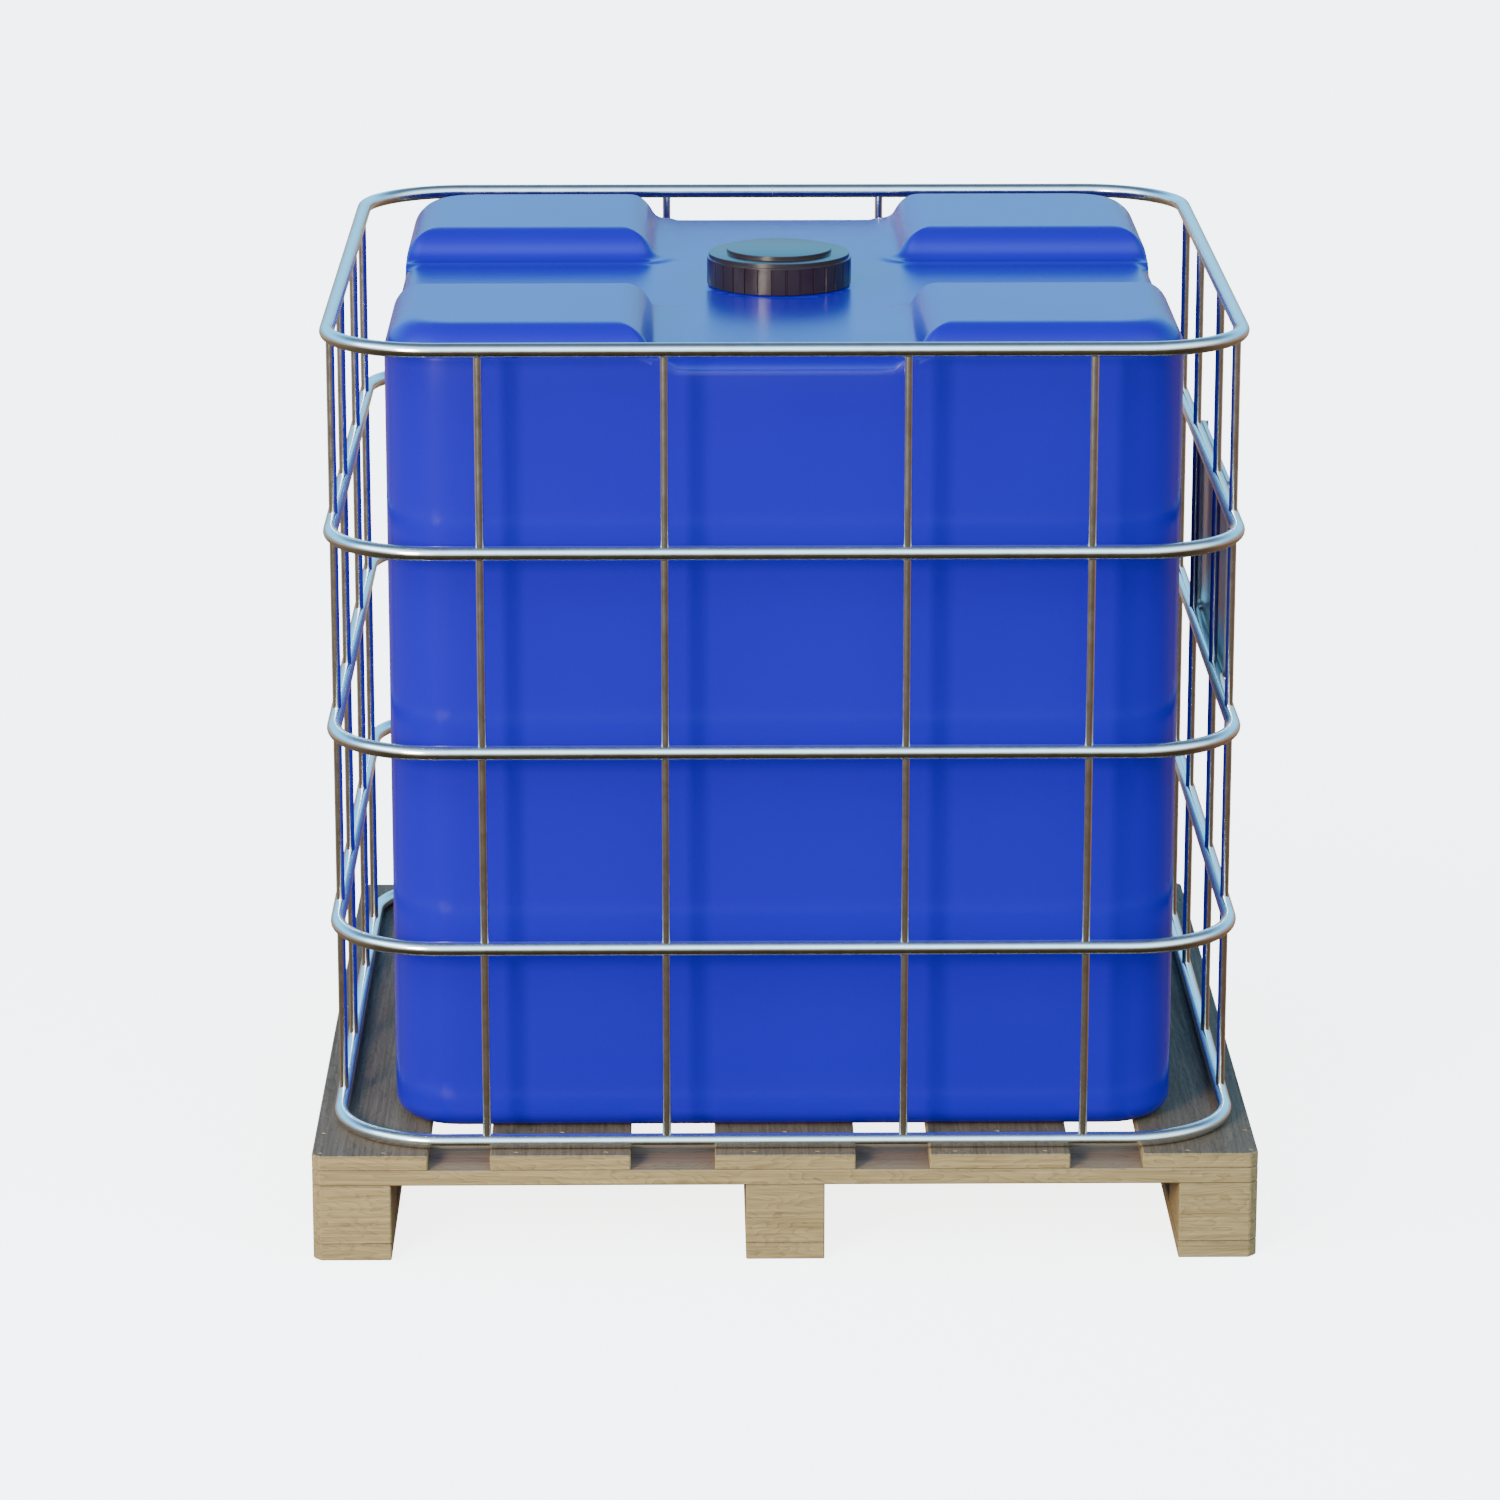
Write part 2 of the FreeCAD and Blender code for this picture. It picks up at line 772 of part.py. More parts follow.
def build_plate():
    """A blank tray of sheet metal whose rim bears on two hoops at the right."""
    body = new_body("id_plate")
    half_width = size("plate_width") / 2
    half_height = size("plate_height") / 2
    corner = size("plate_corner")
    face = sketch_on(body, "YZ_Plane")
    draw_rounded(face, -half_width, half_width, -half_height, half_height, [corner] * 4)
    tray = pad(body, face, size("plate_depth"))
    fillet(body, tray, size("plate_sheet"),
           lambda edge: lies_at(edge, "X", SIZES["plate_depth"]))
    hollow = sketch_on(body, "YZ_Plane")
    inset = size("plate_sheet")
    draw_rounded(hollow, inset - half_width, half_width - inset,
                 inset - half_height, half_height - inset, [corner - inset] * 4)
    document.recompute()
    pocket(body, hollow, size("plate_depth") - inset, backwards=True)
    height = (hoop_level(2) + hoop_level(3)) / 2
    place(sub_part(body), x=cage_place + size("tube_radius"), z=height)


# ---------------------------------------------------------------- tank

def tank_block(body, half, skin):
    """The tank's plain block with rounded corners, bottom edge and shoulder."""
    plan = sketch_on(body, "XY_Plane", skin)
    draw_rounded(plan, -half, half, -half, half, [size("tank_corner") - skin] * 4)
    block = pad(body, plan, size("tank_height") - skin * 2)
    base = number(skin)
    rounded = fillet(body, block, size("tank_bottom_round") - skin,
                     lambda edge: lies_at(edge, "Z", base))
    floor = number(size("tank_height") - skin)
    fillet(body, rounded, size("shoulder_round") - skin,
           lambda edge: lies_at(edge, "Z", floor))


def draw_pillow(sketch, half, skin, lean=0):
    """A pillow's plan in one quarter of the tank's top; its inner sides can lean back."""
    start = size("pillow_start") + skin + lean
    inner = size("pillow_corner") - skin
    corner = size("tank_corner") - skin
    draw_rounded(sketch, start, half, start, half, [inner, inner, corner, inner])


def tank_pillows(body, half, skin):
    """Four raised pillows whose inner sides slope; between them runs a cross valley."""
    top = size("tank_height") - skin
    foot = top - size("pillow_foot")
    foot_plan = sketch_on(body, "XY_Plane", foot)
    draw_pillow(foot_plan, half, skin)
    prism = pad(body, foot_plan, top - foot)
    low_plan = sketch_on(body, "XY_Plane", top)
    draw_pillow(low_plan, half, skin)
    high_plan = sketch_on(body, "XY_Plane", top + size("pillow_height"))
    draw_pillow(high_plan, half, skin, size("pillow_lean"))
    pillow = loft(body, low_plan, high_plan)
    pattern = around(body, prism, 4)
    pattern.Originals = [prism, pillow]
    crest = number(top + size("pillow_height"))
    fillet(body, pattern, size("pillow_round") - skin,
           lambda edge: lies_at(edge, "Z", crest))


def tank_recess(body, skin):
    """The recess low on the rear wall that shelters the valve."""
    half = size("recess_width") / 2 + skin
    back = size("tank_width") / 2 - size("recess_depth") - skin
    front = sketch_on(body, "XZ_Plane", -back)
    high = size("recess_height") + skin
    corner = size("recess_round") + skin
    draw_rounded(front, -half, half, -size("recess_drop"), high, [corner] * 4)
    document.recompute()
    pocket(body, front, size("recess_depth") * 2)


def tank_form(label, skin):
    """The tank's outer form, or the space inside it when skin is its wall."""
    body = new_body(label)
    half = size("tank_width") / 2 - skin
    tank_block(body, half, skin)
    tank_pillows(body, half, skin)
    tank_recess(body, skin)
    return body


def build_tank():
    outer = tank_form("tank_outer", as_size(0))
    neck = sketch_on(outer, "XY_Plane", size("tank_height") - size("tank_wall"))
    draw_circle(neck, size("neck_radius"))
    pad(outer, neck, size("neck_height") + size("tank_wall"))
    wall = size("tank_width") / 2 - size("recess_depth")
    spigot = sketch_on(outer, "XZ_Plane", size("tank_wall") - wall)
    draw_circle(spigot, size("spigot_radius"), 0, size("outlet_height"))
    pad(outer, spigot, size("spigot_length") + size("tank_wall"), backwards=True)

    inner = tank_form("tank_inside", size("tank_wall"))
    mouth = sketch_on(inner, "XY_Plane", size("tank_height") - size("tank_wall") * 2)
    draw_circle(mouth, size("neck_bore"))
    pad(inner, mouth, size("neck_height") + size("tank_wall") * 4)
    bore = sketch_on(inner, "XZ_Plane", size("tank_wall") * 2 - wall)
    draw_circle(bore, size("spigot_bore"), 0, size("outlet_height"))
    pad(inner, bore, size("spigot_length") + size("tank_wall") * 4, backwards=True)

    tank = document.addObject("Part::Cut", "tank")
    tank.Base = outer
    tank.Tool = inner
    place(sub_part(tank), z=deck_top)


# ---------------------------------------------------------------- lid

def grip_grooves(body, radius, width, depth, height, count):
    """Upright grooves cut into a round body's rim, from its foot to a height."""
    cut = sketch_on(body, "XY_Plane")
    half = size(width) / 2
    inner = size(radius) - size(depth)
    outer = size(radius) + size(depth)
    draw_outline(cut, [(inner, -half), (outer, -half), (outer, half), (inner, half)])
    document.recompute()
    groove = pocket(body, cut, height, backwards=True)
    around(body, groove, count)


def build_lid():
    """A ribbed screw cap with a stepped top and a raised disc."""
    skirt_bore = size("neck_radius") + size("lid_clearance")
    inner_disc = size("lid_disc_radius") - size("lid_sheet")
    inner_top = size("lid_disc_height") - size("lid_sheet")
    lid = turned_part("lid", [
        (skirt_bore, 0),
        (size("lid_radius"), 0),
        (size("lid_radius"), size("lid_skirt")),
        (size("lid_top_radius"), size("lid_skirt")),
        (size("lid_top_radius"), size("lid_height")),
        (size("lid_disc_radius"), size("lid_height")),
        (size("lid_disc_radius"), size("lid_disc_height")),
        (0, size("lid_disc_height")),
        (0, inner_top),
        (inner_disc, inner_top),
        (inner_disc, size("lid_floor")),
        (skirt_bore, size("lid_floor")),
    ])
    grip_grooves(lid, "lid_radius", "lid_groove_width", "lid_groove_depth",
                 size("lid_groove_height"), LID_GROOVES)
    place(lid, z=deck_top + size("tank_height") + size("lid_gap"))

    gasket = turned_part("lid_gasket", [
        (size("neck_bore"), 0),
        (size("neck_radius"), 0),
        (size("neck_radius"), size("lid_gasket_thick")),
        (size("neck_bore"), size("lid_gasket_thick")),
    ])
    place(gasket, z=deck_top + size("tank_height") + size("neck_height"))


# ---------------------------------------------------------------- discharge valve

recess_wall = size("tank_width") / 2 - size("recess_depth")
outlet_level = deck_top + size("outlet_height")


def on_outlet(item, along=0):
    """Set an object turned about its own vertical axis onto the outlet's axis."""
    return place(item, 0, recess_wall + along, outlet_level, ALONG_Y)


def over_ball(item):
    """Set an object on the valve stem's upright axis."""
    return place(item, 0, recess_wall + size("ball_centre"), outlet_level)


def build_valve_gasket():
    start = size("spigot_length")
    end = start + size("valve_gasket_thick")
    gasket = turned_part("valve_gasket", [
        (size("spigot_bore"), start),
        (size("spigot_radius"), start),
        (size("spigot_radius"), end),
        (size("spigot_bore"), end),
    ])
    on_outlet(gasket)


def build_valve_body():
    """Flanged barrel with the ball's chamber and a boss for the stem."""
    start = size("spigot_length") + size("valve_gasket_thick")
    flange_end = start + size("valve_flange_thick")
    neck_end = flange_end + size("valve_neck_length")
    barrel_end = neck_end + size("valve_barrel_length")
    barrel = turned_part("valve_body", [
        (size("spigot_bore"), start),
        (size("valve_flange_radius"), start),
        (size("valve_flange_radius"), flange_end),
        (size("valve_neck_radius"), flange_end),
        (size("valve_neck_radius"), neck_end),
        (size("valve_barrel_radius"), neck_end),
        (size("valve_barrel_radius"), barrel_end),
        (size("chamber_radius"), barrel_end),
        (size("chamber_radius"), size("chamber_start")),
        (size("spigot_bore"), size("chamber_start")),
    ])
    boss = sketch_on(barrel, "XZ_Plane", size("boss_root"))
    draw_circle(boss, size("boss_radius"), 0, size("ball_centre"))
    pad(barrel, boss, size("boss_height") - size("boss_root"))
    hole = sketch_on(barrel, "XZ_Plane", size("stem_hole_start"))
    draw_circle(hole, size("stem_radius") + size("stem_clearance"), 0, size("ball_centre"))
    document.recompute()
    pocket(barrel, hole, size("boss_height"), backwards=True)
    on_outlet(barrel)


def build_seats():
    """Two plastic rings that bear on the ball, each bored by the ball's sphere."""
    seat_end = size("chamber_start") + size("seat_length")
    far_start = size("ball_centre") * 2 - seat_end
    rings = []
    for name, start in (("near", size("chamber_start")), ("far", far_start)):
        outer = cylinder(f"seat_{name}_blank", size("chamber_radius"), size("seat_length"))
        on_outlet(outer, start)
        rings.append(outer)
    blanks = document.addObject("Part::MultiFuse", "seat_blanks")
    blanks.Shapes = rings
    sphere = document.addObject("Part::Sphere", "seat_sphere")
    bind(sphere, "Radius", size("ball_radius") + size("seat_clearance"))
    over_ball(sphere)
    bore = cylinder("seat_bore", size("ball_bore"), size("tail_end"))
    on_outlet(bore)
    hollow = document.addObject("Part::MultiFuse", "seat_hollow")
    hollow.Shapes = [sphere, bore]
    seats = document.addObject("Part::Cut", "valve_seats")
    seats.Base = blanks
    seats.Tool = hollow
    sub_part(seats)


def box(label, width, depth, height, x, y, z):
    """A block centred on x and y, standing on z."""
    item = document.addObject("Part::Box", label)
    bind(item, "Length", width)
    bind(item, "Width", depth)
    bind(item, "Height", height)
    return place(item, as_size(x) - as_size(width) / 2, as_size(y) - as_size(depth) / 2, z)


def build_ball():
    """The bored ball, closed at rest: its bore lies across the flow."""
    centre = recess_wall + size("ball_centre")
    sphere = document.addObject("Part::Sphere", "ball_blank")
    bind(sphere, "Radius", size("ball_radius"))
    over_ball(sphere)
    bore = cylinder("ball_bore_tool", size("ball_bore"), size("ball_radius") * 4)
    place(bore, -size("ball_radius") * 2, centre, outlet_level, ALONG_X)
    slot = box("ball_slot", size("ball_radius") * 2,
               size("stem_tang_width") + size("slot_clearance"), size("ball_radius"),
               0, centre, outlet_level + size("stem_foot") - size("slot_clearance"))
    tools = document.addObject("Part::MultiFuse", "ball_tools")
    tools.Shapes = [bore, slot]
    ball = document.addObject("Part::Cut", "valve_ball")
    ball.Base = sphere
    ball.Tool = tools
    sub_part(ball)


def draw_block(sketch, half_width, half_depth):
    """A rectangle centred on the sketch's origin."""
    draw_outline(sketch, [(-half_width, -half_depth), (half_width, -half_depth),
                          (half_width, half_depth), (-half_width, half_depth)])


def build_stem():
    """A round stem with a tang in the ball, a square under the lever and a screw hole."""
    stem = new_body("valve_stem")
    tang = sketch_on(stem, "XY_Plane", size("stem_foot"))
    draw_block(tang, size("stem_tang_length") / 2, size("stem_tang_width") / 2)
    pad(stem, tang, size("stem_tang_top") - size("stem_foot"))
    shaft = sketch_on(stem, "XY_Plane", size("stem_tang_top"))
    draw_circle(shaft, size("stem_radius"))
    pad(stem, shaft, size("lever_base") - size("stem_tang_top"))
    square = sketch_on(stem, "XY_Plane", size("lever_base"))
    draw_block(square, size("stem_square") / 2, size("stem_square") / 2)
    pad(stem, square, size("stem_top") - size("lever_base"))
    hole = sketch_on(stem, "XY_Plane", size("stem_top"))
    draw_circle(hole, size("lever_screw_radius"))
    document.recompute()
    pocket(stem, hole, size("lever_screw_depth"))
    over_ball(sub_part(stem))


def build_lever():
    """A flat lever on the stem's square, across the flow when the valve is closed."""
    lever = new_body("valve_lever")
    hub = sketch_on(lever, "XY_Plane", size("lever_base"))
    draw_circle(hub, size("lever_hub_radius"))
    pad(lever, hub, size("lever_thick"))
    half = size("lever_width") / 2
    root = size("lever_root_round")
    end = size("lever_end_round")
    arm = sketch_on(lever, "XY_Plane", size("lever_base"))
    draw_rounded(arm, 0, size("lever_length"), -half, half, [root, end, end, root])
    pad(lever, arm, size("lever_thick"))
    document.recompute()
    square = sketch_on(lever, "XY_Plane", size("lever_base"))
    side = size("stem_square") / 2 + size("slot_clearance") / 2
    draw_block(square, side, side)
    pocket(lever, square, size("lever_thick"), backwards=True)
    over_ball(sub_part(lever))


def build_lever_screw():
    """A round-head screw that holds the lever down on the stem."""
    seat = size("lever_base") + size("lever_thick")
    foot = seat - size("lever_screw_shank")
    radius = size("lever_screw_radius") - size("stem_clearance")
    top = seat + size("lever_screw_head_height")
    screw = turned_part("lever_screw", [
        (0, foot),
        (radius, foot),
        (radius, seat),
        (size("lever_screw_head"), seat),
        (size("lever_screw_head"), seat + size("lever_screw_head_edge")),
        (size("lever_screw_head_top"), top),
        (0, top),
    ])
    over_ball(screw)


def build_tail():
    """The outlet piece: a plug that holds the ball's seat, a flange and a thread."""
    far_seat_end = size("ball_centre") * 2 - size("chamber_start")
    plug_end = far_seat_end + size("tail_plug_length")
    flange_end = plug_end + size("tail_flange_thick")
    tail = turned_part("valve_tail", [
        (size("spigot_bore"), far_seat_end),
        (size("chamber_radius"), far_seat_end),
        (size("chamber_radius"), plug_end),
        (size("valve_barrel_radius"), plug_end),
        (size("valve_barrel_radius"), flange_end),
        (size("spigot_radius"), flange_end),
        (size("spigot_radius"), size("tail_end")),
        (size("spigot_bore"), size("tail_end")),
    ])
    on_outlet(tail)


def build_union_nut():
    """A ribbed nut that draws the valve's flange onto the tank's spigot."""
    gap = size("nut_clearance")
    flange_end = (size("spigot_length") + size("valve_gasket_thick")
                  + size("valve_flange_thick"))
    shoulder = size("nut_shoulder")
    nut = turned_part("union_nut", [
        (size("spigot_radius") + gap, size("nut_start")),
        (size("nut_radius"), size("nut_start")),
        (size("nut_radius"), size("nut_end")),
        (size("valve_neck_radius") + gap, size("nut_end")),
        (size("valve_neck_radius") + gap, flange_end),
        (size("valve_flange_radius") + gap, flange_end),
        (size("valve_flange_radius") + gap, shoulder),
        (size("spigot_radius") + gap, shoulder),
    ])
    grip_grooves(nut, "nut_radius", "nut_groove_width", "nut_groove_depth",
                 size("nut_groove_end"), NUT_GROOVES)
    on_outlet(nut)


def build_outlet_cap():
    """The dust cap on the outlet's thread, and the gasket it carries."""
    bore = size("spigot_radius") + size("nut_clearance")
    floor = size("cap_end") - size("cap_sheet")
    cap = turned_part("outlet_cap", [
        (bore, size("cap_start")),
        (size("cap_radius"), size("cap_start")),
        (size("cap_radius"), size("cap_end")),
        (0, size("cap_end")),
        (0, floor),
        (bore, floor),
    ])
    grip_grooves(cap, "cap_radius", "lid_groove_width", "lid_groove_depth",
                 size("cap_groove_end"), CAP_GROOVES)
    on_outlet(cap)
    gasket = turned_part("outlet_gasket", [
        (size("spigot_bore"), size("tail_end")),
        (size("spigot_radius"), size("tail_end")),
        (size("spigot_radius"), floor),
        (size("spigot_bore"), floor),
    ])
    on_outlet(gasket)


# ---------------------------------------------------------------- whole container

def check_and_export():
    document.recompute()
    failed = [item.Name for item in document.Objects
              if "Invalid" in item.State or "Error" in item.State]
    if failed:
        raise RuntimeError(f"failed objects: {failed}")
    for item in parts:
        shape = item.Shape
        if shape.isNull() or not shape.isValid():
            raise RuntimeError(f"bad shape: {item.Label}")
    os.makedirs("parts", exist_ok=True)
    for item in parts:
        item.Shape.exportStep(f"parts/{item.Label}.step")
        print(item.Label, round(item.Shape.Volume), len(item.Shape.Solids))


build_pallet()
build_deck_nails()
build_bottom_nails()
build_cage_screws()
for hoop_index in range(HOOP_COUNT):
    build_hoop(hoop_index)
build_seam_welds()
build_bars(hoop_envelope())
build_plate()
build_tank()
build_lid()
build_valve_gasket()
build_valve_body()
build_seats()
build_ball()
build_stem()
build_lever()
build_lever_screw()
build_tail()
build_union_nut()
build_outlet_cap()
check_and_export()
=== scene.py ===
import math

import bmesh
import bpy
from mathutils import Matrix, Vector


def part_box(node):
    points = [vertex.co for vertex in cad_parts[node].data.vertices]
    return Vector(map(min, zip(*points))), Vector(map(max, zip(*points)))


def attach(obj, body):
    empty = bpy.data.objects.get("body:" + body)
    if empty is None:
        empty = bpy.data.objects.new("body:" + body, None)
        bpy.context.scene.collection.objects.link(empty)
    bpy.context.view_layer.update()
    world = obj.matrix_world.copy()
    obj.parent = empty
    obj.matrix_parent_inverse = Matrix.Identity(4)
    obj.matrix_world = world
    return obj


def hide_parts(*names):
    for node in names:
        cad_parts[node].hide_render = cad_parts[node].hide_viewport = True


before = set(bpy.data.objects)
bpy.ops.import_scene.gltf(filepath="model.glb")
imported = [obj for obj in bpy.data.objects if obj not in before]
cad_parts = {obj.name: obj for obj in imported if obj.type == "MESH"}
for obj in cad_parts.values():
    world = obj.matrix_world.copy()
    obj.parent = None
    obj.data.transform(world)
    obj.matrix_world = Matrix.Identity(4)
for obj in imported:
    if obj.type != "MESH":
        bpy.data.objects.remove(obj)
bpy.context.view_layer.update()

# ------------------------------------------------------------------ helpers


def mix_value(low, high, share):
    """A value part of the way from low to high."""
    return low + (high - low) * share


def smooth(share):
    """An eased share: 0 below 0, 1 above 1, level at both ends."""
    share = min(max(share, 0.0), 1.0)
    return share * share * (3 - 2 * share)


def steps(start, end, count):
    """Evenly spaced values, both ends included."""
    return [mix_value(start, end, index / count) for index in range(count + 1)]


def new_object(name, mesh):
    """Put a mesh, light or camera in the scene under a name."""
    item = bpy.data.objects.new(name, mesh)
    bpy.context.scene.collection.objects.link(item)
    return item


SHARP_ANGLE = 35
WIDE_SHARP_ANGLE = 40


def smooth_shade(item, angle=SHARP_ANGLE):
    """Shade an object smooth, apart from edges that turn by more than an angle."""
    item.data.shade_smooth()
    item.data.set_sharp_from_angle(angle=math.radians(angle))


def finish_mesh(name, build, angle=SHARP_ANGLE):
    """Turn a bmesh into an object shaded smooth up to an angle."""
    bmesh.ops.recalc_face_normals(build, faces=build.faces)
    mesh = bpy.data.meshes.new(name)
    build.to_mesh(mesh)
    build.free()
    item = new_object(name, mesh)
    smooth_shade(item, angle)
    return item


def dress(item, material):
    """Give an object one material."""
    item.data.materials.clear()
    item.data.materials.append(material)


def finish_piece(piece, material, body, node):
    """Dress a detailed piece and let it stand for its CAD node."""
    dress(piece, material)
    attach(piece, body)
    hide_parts(node)


# ------------------------------------------------------------------ material nodes


class Nodes:
    """Short calls for building a material's node tree."""

    def __init__(self, name):
        self.material = bpy.data.materials.new(name)
        self.material.use_nodes = True
        self.tree = self.material.node_tree
        self.shader = self.tree.nodes["Principled BSDF"]

    def add(self, kind, **settings):
        """A new node of a kind, with its settings."""
        node = self.tree.nodes.new(kind)
        for key, value in settings.items():
            setattr(node, key, value)
        return node

    def put(self, socket, value):
        """Set a socket to a plain value, or link it to another node's output."""
        if isinstance(value, bpy.types.NodeSocket):
            self.tree.links.new(value, socket)
        else:
            socket.default_value = value

    def place(self):
        """The point being shaded, in the object's own axes."""
        return self.add("ShaderNodeTexCoord").outputs["Object"]

    def stretched(self, vector, scale, shift=(0, 0, 0)):
        """A vector scaled along each axis, then shifted."""
        node = self.add("ShaderNodeMapping")
        self.put(node.inputs["Vector"], vector)
        node.inputs["Scale"].default_value = scale
        node.inputs["Location"].default_value = shift
        return node.outputs["Vector"]

    def noise(self, vector, scale, detail, roughness, distortion=0.0):
        node = self.add("ShaderNodeTexNoise")
        self.put(node.inputs["Vector"], vector)
        node.inputs["Scale"].default_value = scale
        node.inputs["Detail"].default_value = detail
        node.inputs["Roughness"].default_value = roughness
        node.inputs["Distortion"].default_value = distortion
        return node.outputs["Fac"]

    def ramp(self, value, stops):
        """A colour ramp: stops are (position, grey value or colour)."""
        node = self.add("ShaderNodeValToRGB")
        self.put(node.inputs["Fac"], value)
        band = node.color_ramp.elements
        while len(band) < len(stops):
            band.new(0.5)
        for element, (position, colour) in zip(band, stops):
            element.position = position
            if isinstance(colour, (int, float)):
                colour = (colour, colour, colour)
            element.color = (*colour, 1.0)
        return node.outputs["Color"]

    def math(self, operation, first, second=0.0, third=0.0):
        node = self.add("ShaderNodeMath", operation=operation)
        for socket, value in zip(node.inputs, (first, second, third)):
            self.put(socket, value)
        return node.outputs["Value"]

    def remap(self, value, low, high, new_low=0.0, new_high=1.0):
        """A value moved from one range to another, and kept inside the new one."""
        node = self.add("ShaderNodeMapRange")
        for key, item in (("Value", value), ("From Min", low), ("From Max", high),
                          ("To Min", new_low), ("To Max", new_high)):
            self.put(node.inputs[key], item)
        return node.outputs["Result"]

    def blend(self, share, first, second, kind="MIX"):
        """Two colours mixed, or combined in another way, by a share."""
        node = self.add("ShaderNodeMix", data_type="RGBA", blend_type=kind)
        self.put(node.inputs[0], share)
        self.put(node.inputs[6], first)
        self.put(node.inputs[7], second)
        return node.outputs[2]

    def split(self, vector):
        """A vector's three parts."""
        node = self.add("ShaderNodeSeparateXYZ")
        self.put(node.inputs[0], vector)
        return node.outputs

    def normal_parts(self):
        """The true surface normal in the object's own axes."""
        turn = self.add("ShaderNodeVectorTransform", vector_type="NORMAL",
                        convert_from="WORLD", convert_to="OBJECT")
        self.put(turn.inputs[0], self.add("ShaderNodeNewGeometry").outputs["Normal"])
        return self.split(turn.outputs[0])

    def bump(self, height, strength, distance):
        """Fine relief in the surface, as a normal for the shader."""
        node = self.add("ShaderNodeBump")
        self.put(node.inputs["Height"], height)
        node.inputs["Strength"].default_value = strength
        node.inputs["Distance"].default_value = distance
        self.put(self.shader.inputs["Normal"], node.outputs["Normal"])

    def surface(self, colour, roughness, metallic=0.0, specular=0.5):
        """Set the shader's main inputs and return the finished material."""
        self.put(self.shader.inputs["Base Color"], colour)
        self.put(self.shader.inputs["Roughness"], roughness)
        self.shader.inputs["Metallic"].default_value = metallic
        self.shader.inputs["Specular IOR Level"].default_value = specular
        return self.material


# ------------------------------------------------------------------ shapes

ARC_STEPS = 4
ON_AXIS = 1e-6
ALL_ROUND = steps(0, 357, 119)


def rounded_profile(corners):
    """A closed outline with its corners rounded; corners are (r, z, radius)."""
    points = []
    for index, (r, z, radius) in enumerate(corners):
        here = Vector((r, z))
        before = (Vector(corners[index - 1][:2]) - here).normalized()
        after = (Vector(corners[(index + 1) % len(corners)][:2]) - here).normalized()
        if radius == 0:
            points.append(here)
            continue
        half = before.angle(after) / 2
        reach = radius / math.tan(half)
        centre = here + (before + after).normalized() * (radius / math.sin(half))
        start = here + before * reach - centre
        end = here + after * reach - centre
        for share in steps(0, 1, ARC_STEPS):
            points.append(centre + start.lerp(end, share).normalized() * radius)
    return [(max(point.x, 0.0), point.y) for point in points]


def turned_mesh(build, corners, angles, inset=None):
    """Revolve a closed outline about Z; inset(angle, r, z) presses the surface in."""
    rings = []
    for r, z in rounded_profile(corners):
        if r < ON_AXIS:
            rings.append([build.verts.new((0, 0, z))])
            continue
        ring = []
        for angle in angles:
            radius = r - (inset(angle, r, z) if inset else 0.0)
            turn = math.radians(angle)
            ring.append(build.verts.new((radius * math.cos(turn), radius * math.sin(turn), z)))
        rings.append(ring)
    for index, ring in enumerate(rings):
        following = rings[(index + 1) % len(rings)]
        if len(ring) == 1 and len(following) == 1:
            continue
        for column in range(len(angles)):
            after = (column + 1) % len(angles)
            corner_verts = [ring[column % len(ring)], ring[after % len(ring)],
                            following[after % len(following)],
                            following[column % len(following)]]
            build.faces.new(dict.fromkeys(corner_verts))


def turned(name, corners, place, angles=ALL_ROUND, inset=None, along_y=False):
    """A turned piece standing on Z at a place, or lying along Y."""
    build = bmesh.new()
    turned_mesh(build, corners, angles, inset)
    if along_y:
        bmesh.ops.rotate(build, verts=build.verts, cent=(0, 0, 0),
                         matrix=Matrix.Rotation(math.radians(-90), 3, "X"))
    bmesh.ops.translate(build, verts=build.verts, vec=place)
    return finish_mesh(name, build)


def apply_modifiers(item):
    """Replace an object's mesh by its evaluated mesh."""
    graph = bpy.context.evaluated_depsgraph_get()
    mesh = bpy.data.meshes.new_from_object(item.evaluated_get(graph))
    old = item.data
    item.modifiers.clear()
    item.data = mesh
    bpy.data.meshes.remove(old)


def combine(item, other, operation):
    """Boolean another object into this one and remove the other."""
    modifier = item.modifiers.new("combine", "BOOLEAN")
    modifier.operation = operation
    modifier.solver = "EXACT"
    modifier.object = other
    apply_modifiers(item)
    bpy.data.objects.remove(other)


def bevel_edges(item, width, segments, angle=SHARP_ANGLE):
    """Round an object's sharp edges."""
    modifier = item.modifiers.new("bevel", "BEVEL")
    modifier.width = width
    modifier.segments = segments
    modifier.limit_method = "ANGLE"
    modifier.angle_limit = math.radians(angle)
    modifier.use_clamp_overlap = True
    apply_modifiers(item)


def box_mesh(name, low, high):
    """A plain block, for cutting."""
    build = bmesh.new()
    bmesh.ops.create_cube(build, size=1)
    low = Vector(low)
    high = Vector(high)
    for vert in build.verts:
        share = vert.co + Vector((0.5, 0.5, 0.5))
        vert.co = low + Vector(a * b for a, b in zip(share, high - low))
    return finish_mesh(name, build)


# ------------------------------------------------------------------ tank skin
# Lengths are in metres. The main sizes repeat the CAD's. The rounds and the
# pillows' slopes are the visible skin's own.

TANK_LOW, TANK_HIGH = (Vector(corner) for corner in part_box("tank"))
TANK_HALF = TANK_HIGH.x
TANK_CORNER = 0.085
BASE_ROUND = 0.028
SHOULDER_ROUND = 0.022
NECK_HEIGHT = 0.0275
PILLOW_HEIGHT = 0.040
TANK_TOP = TANK_HIGH.z - PILLOW_HEIGHT
PILLOW_START = 0.146
PILLOW_CORNER = 0.045
PILLOW_SLOPE = math.radians(60)
CREST_ROUND = 0.044
FOOT_ROUND = 0.026
FALL_ROUND = 0.009
EDGE_ROUND = 0.043
FOOT_BLEND = 0.010


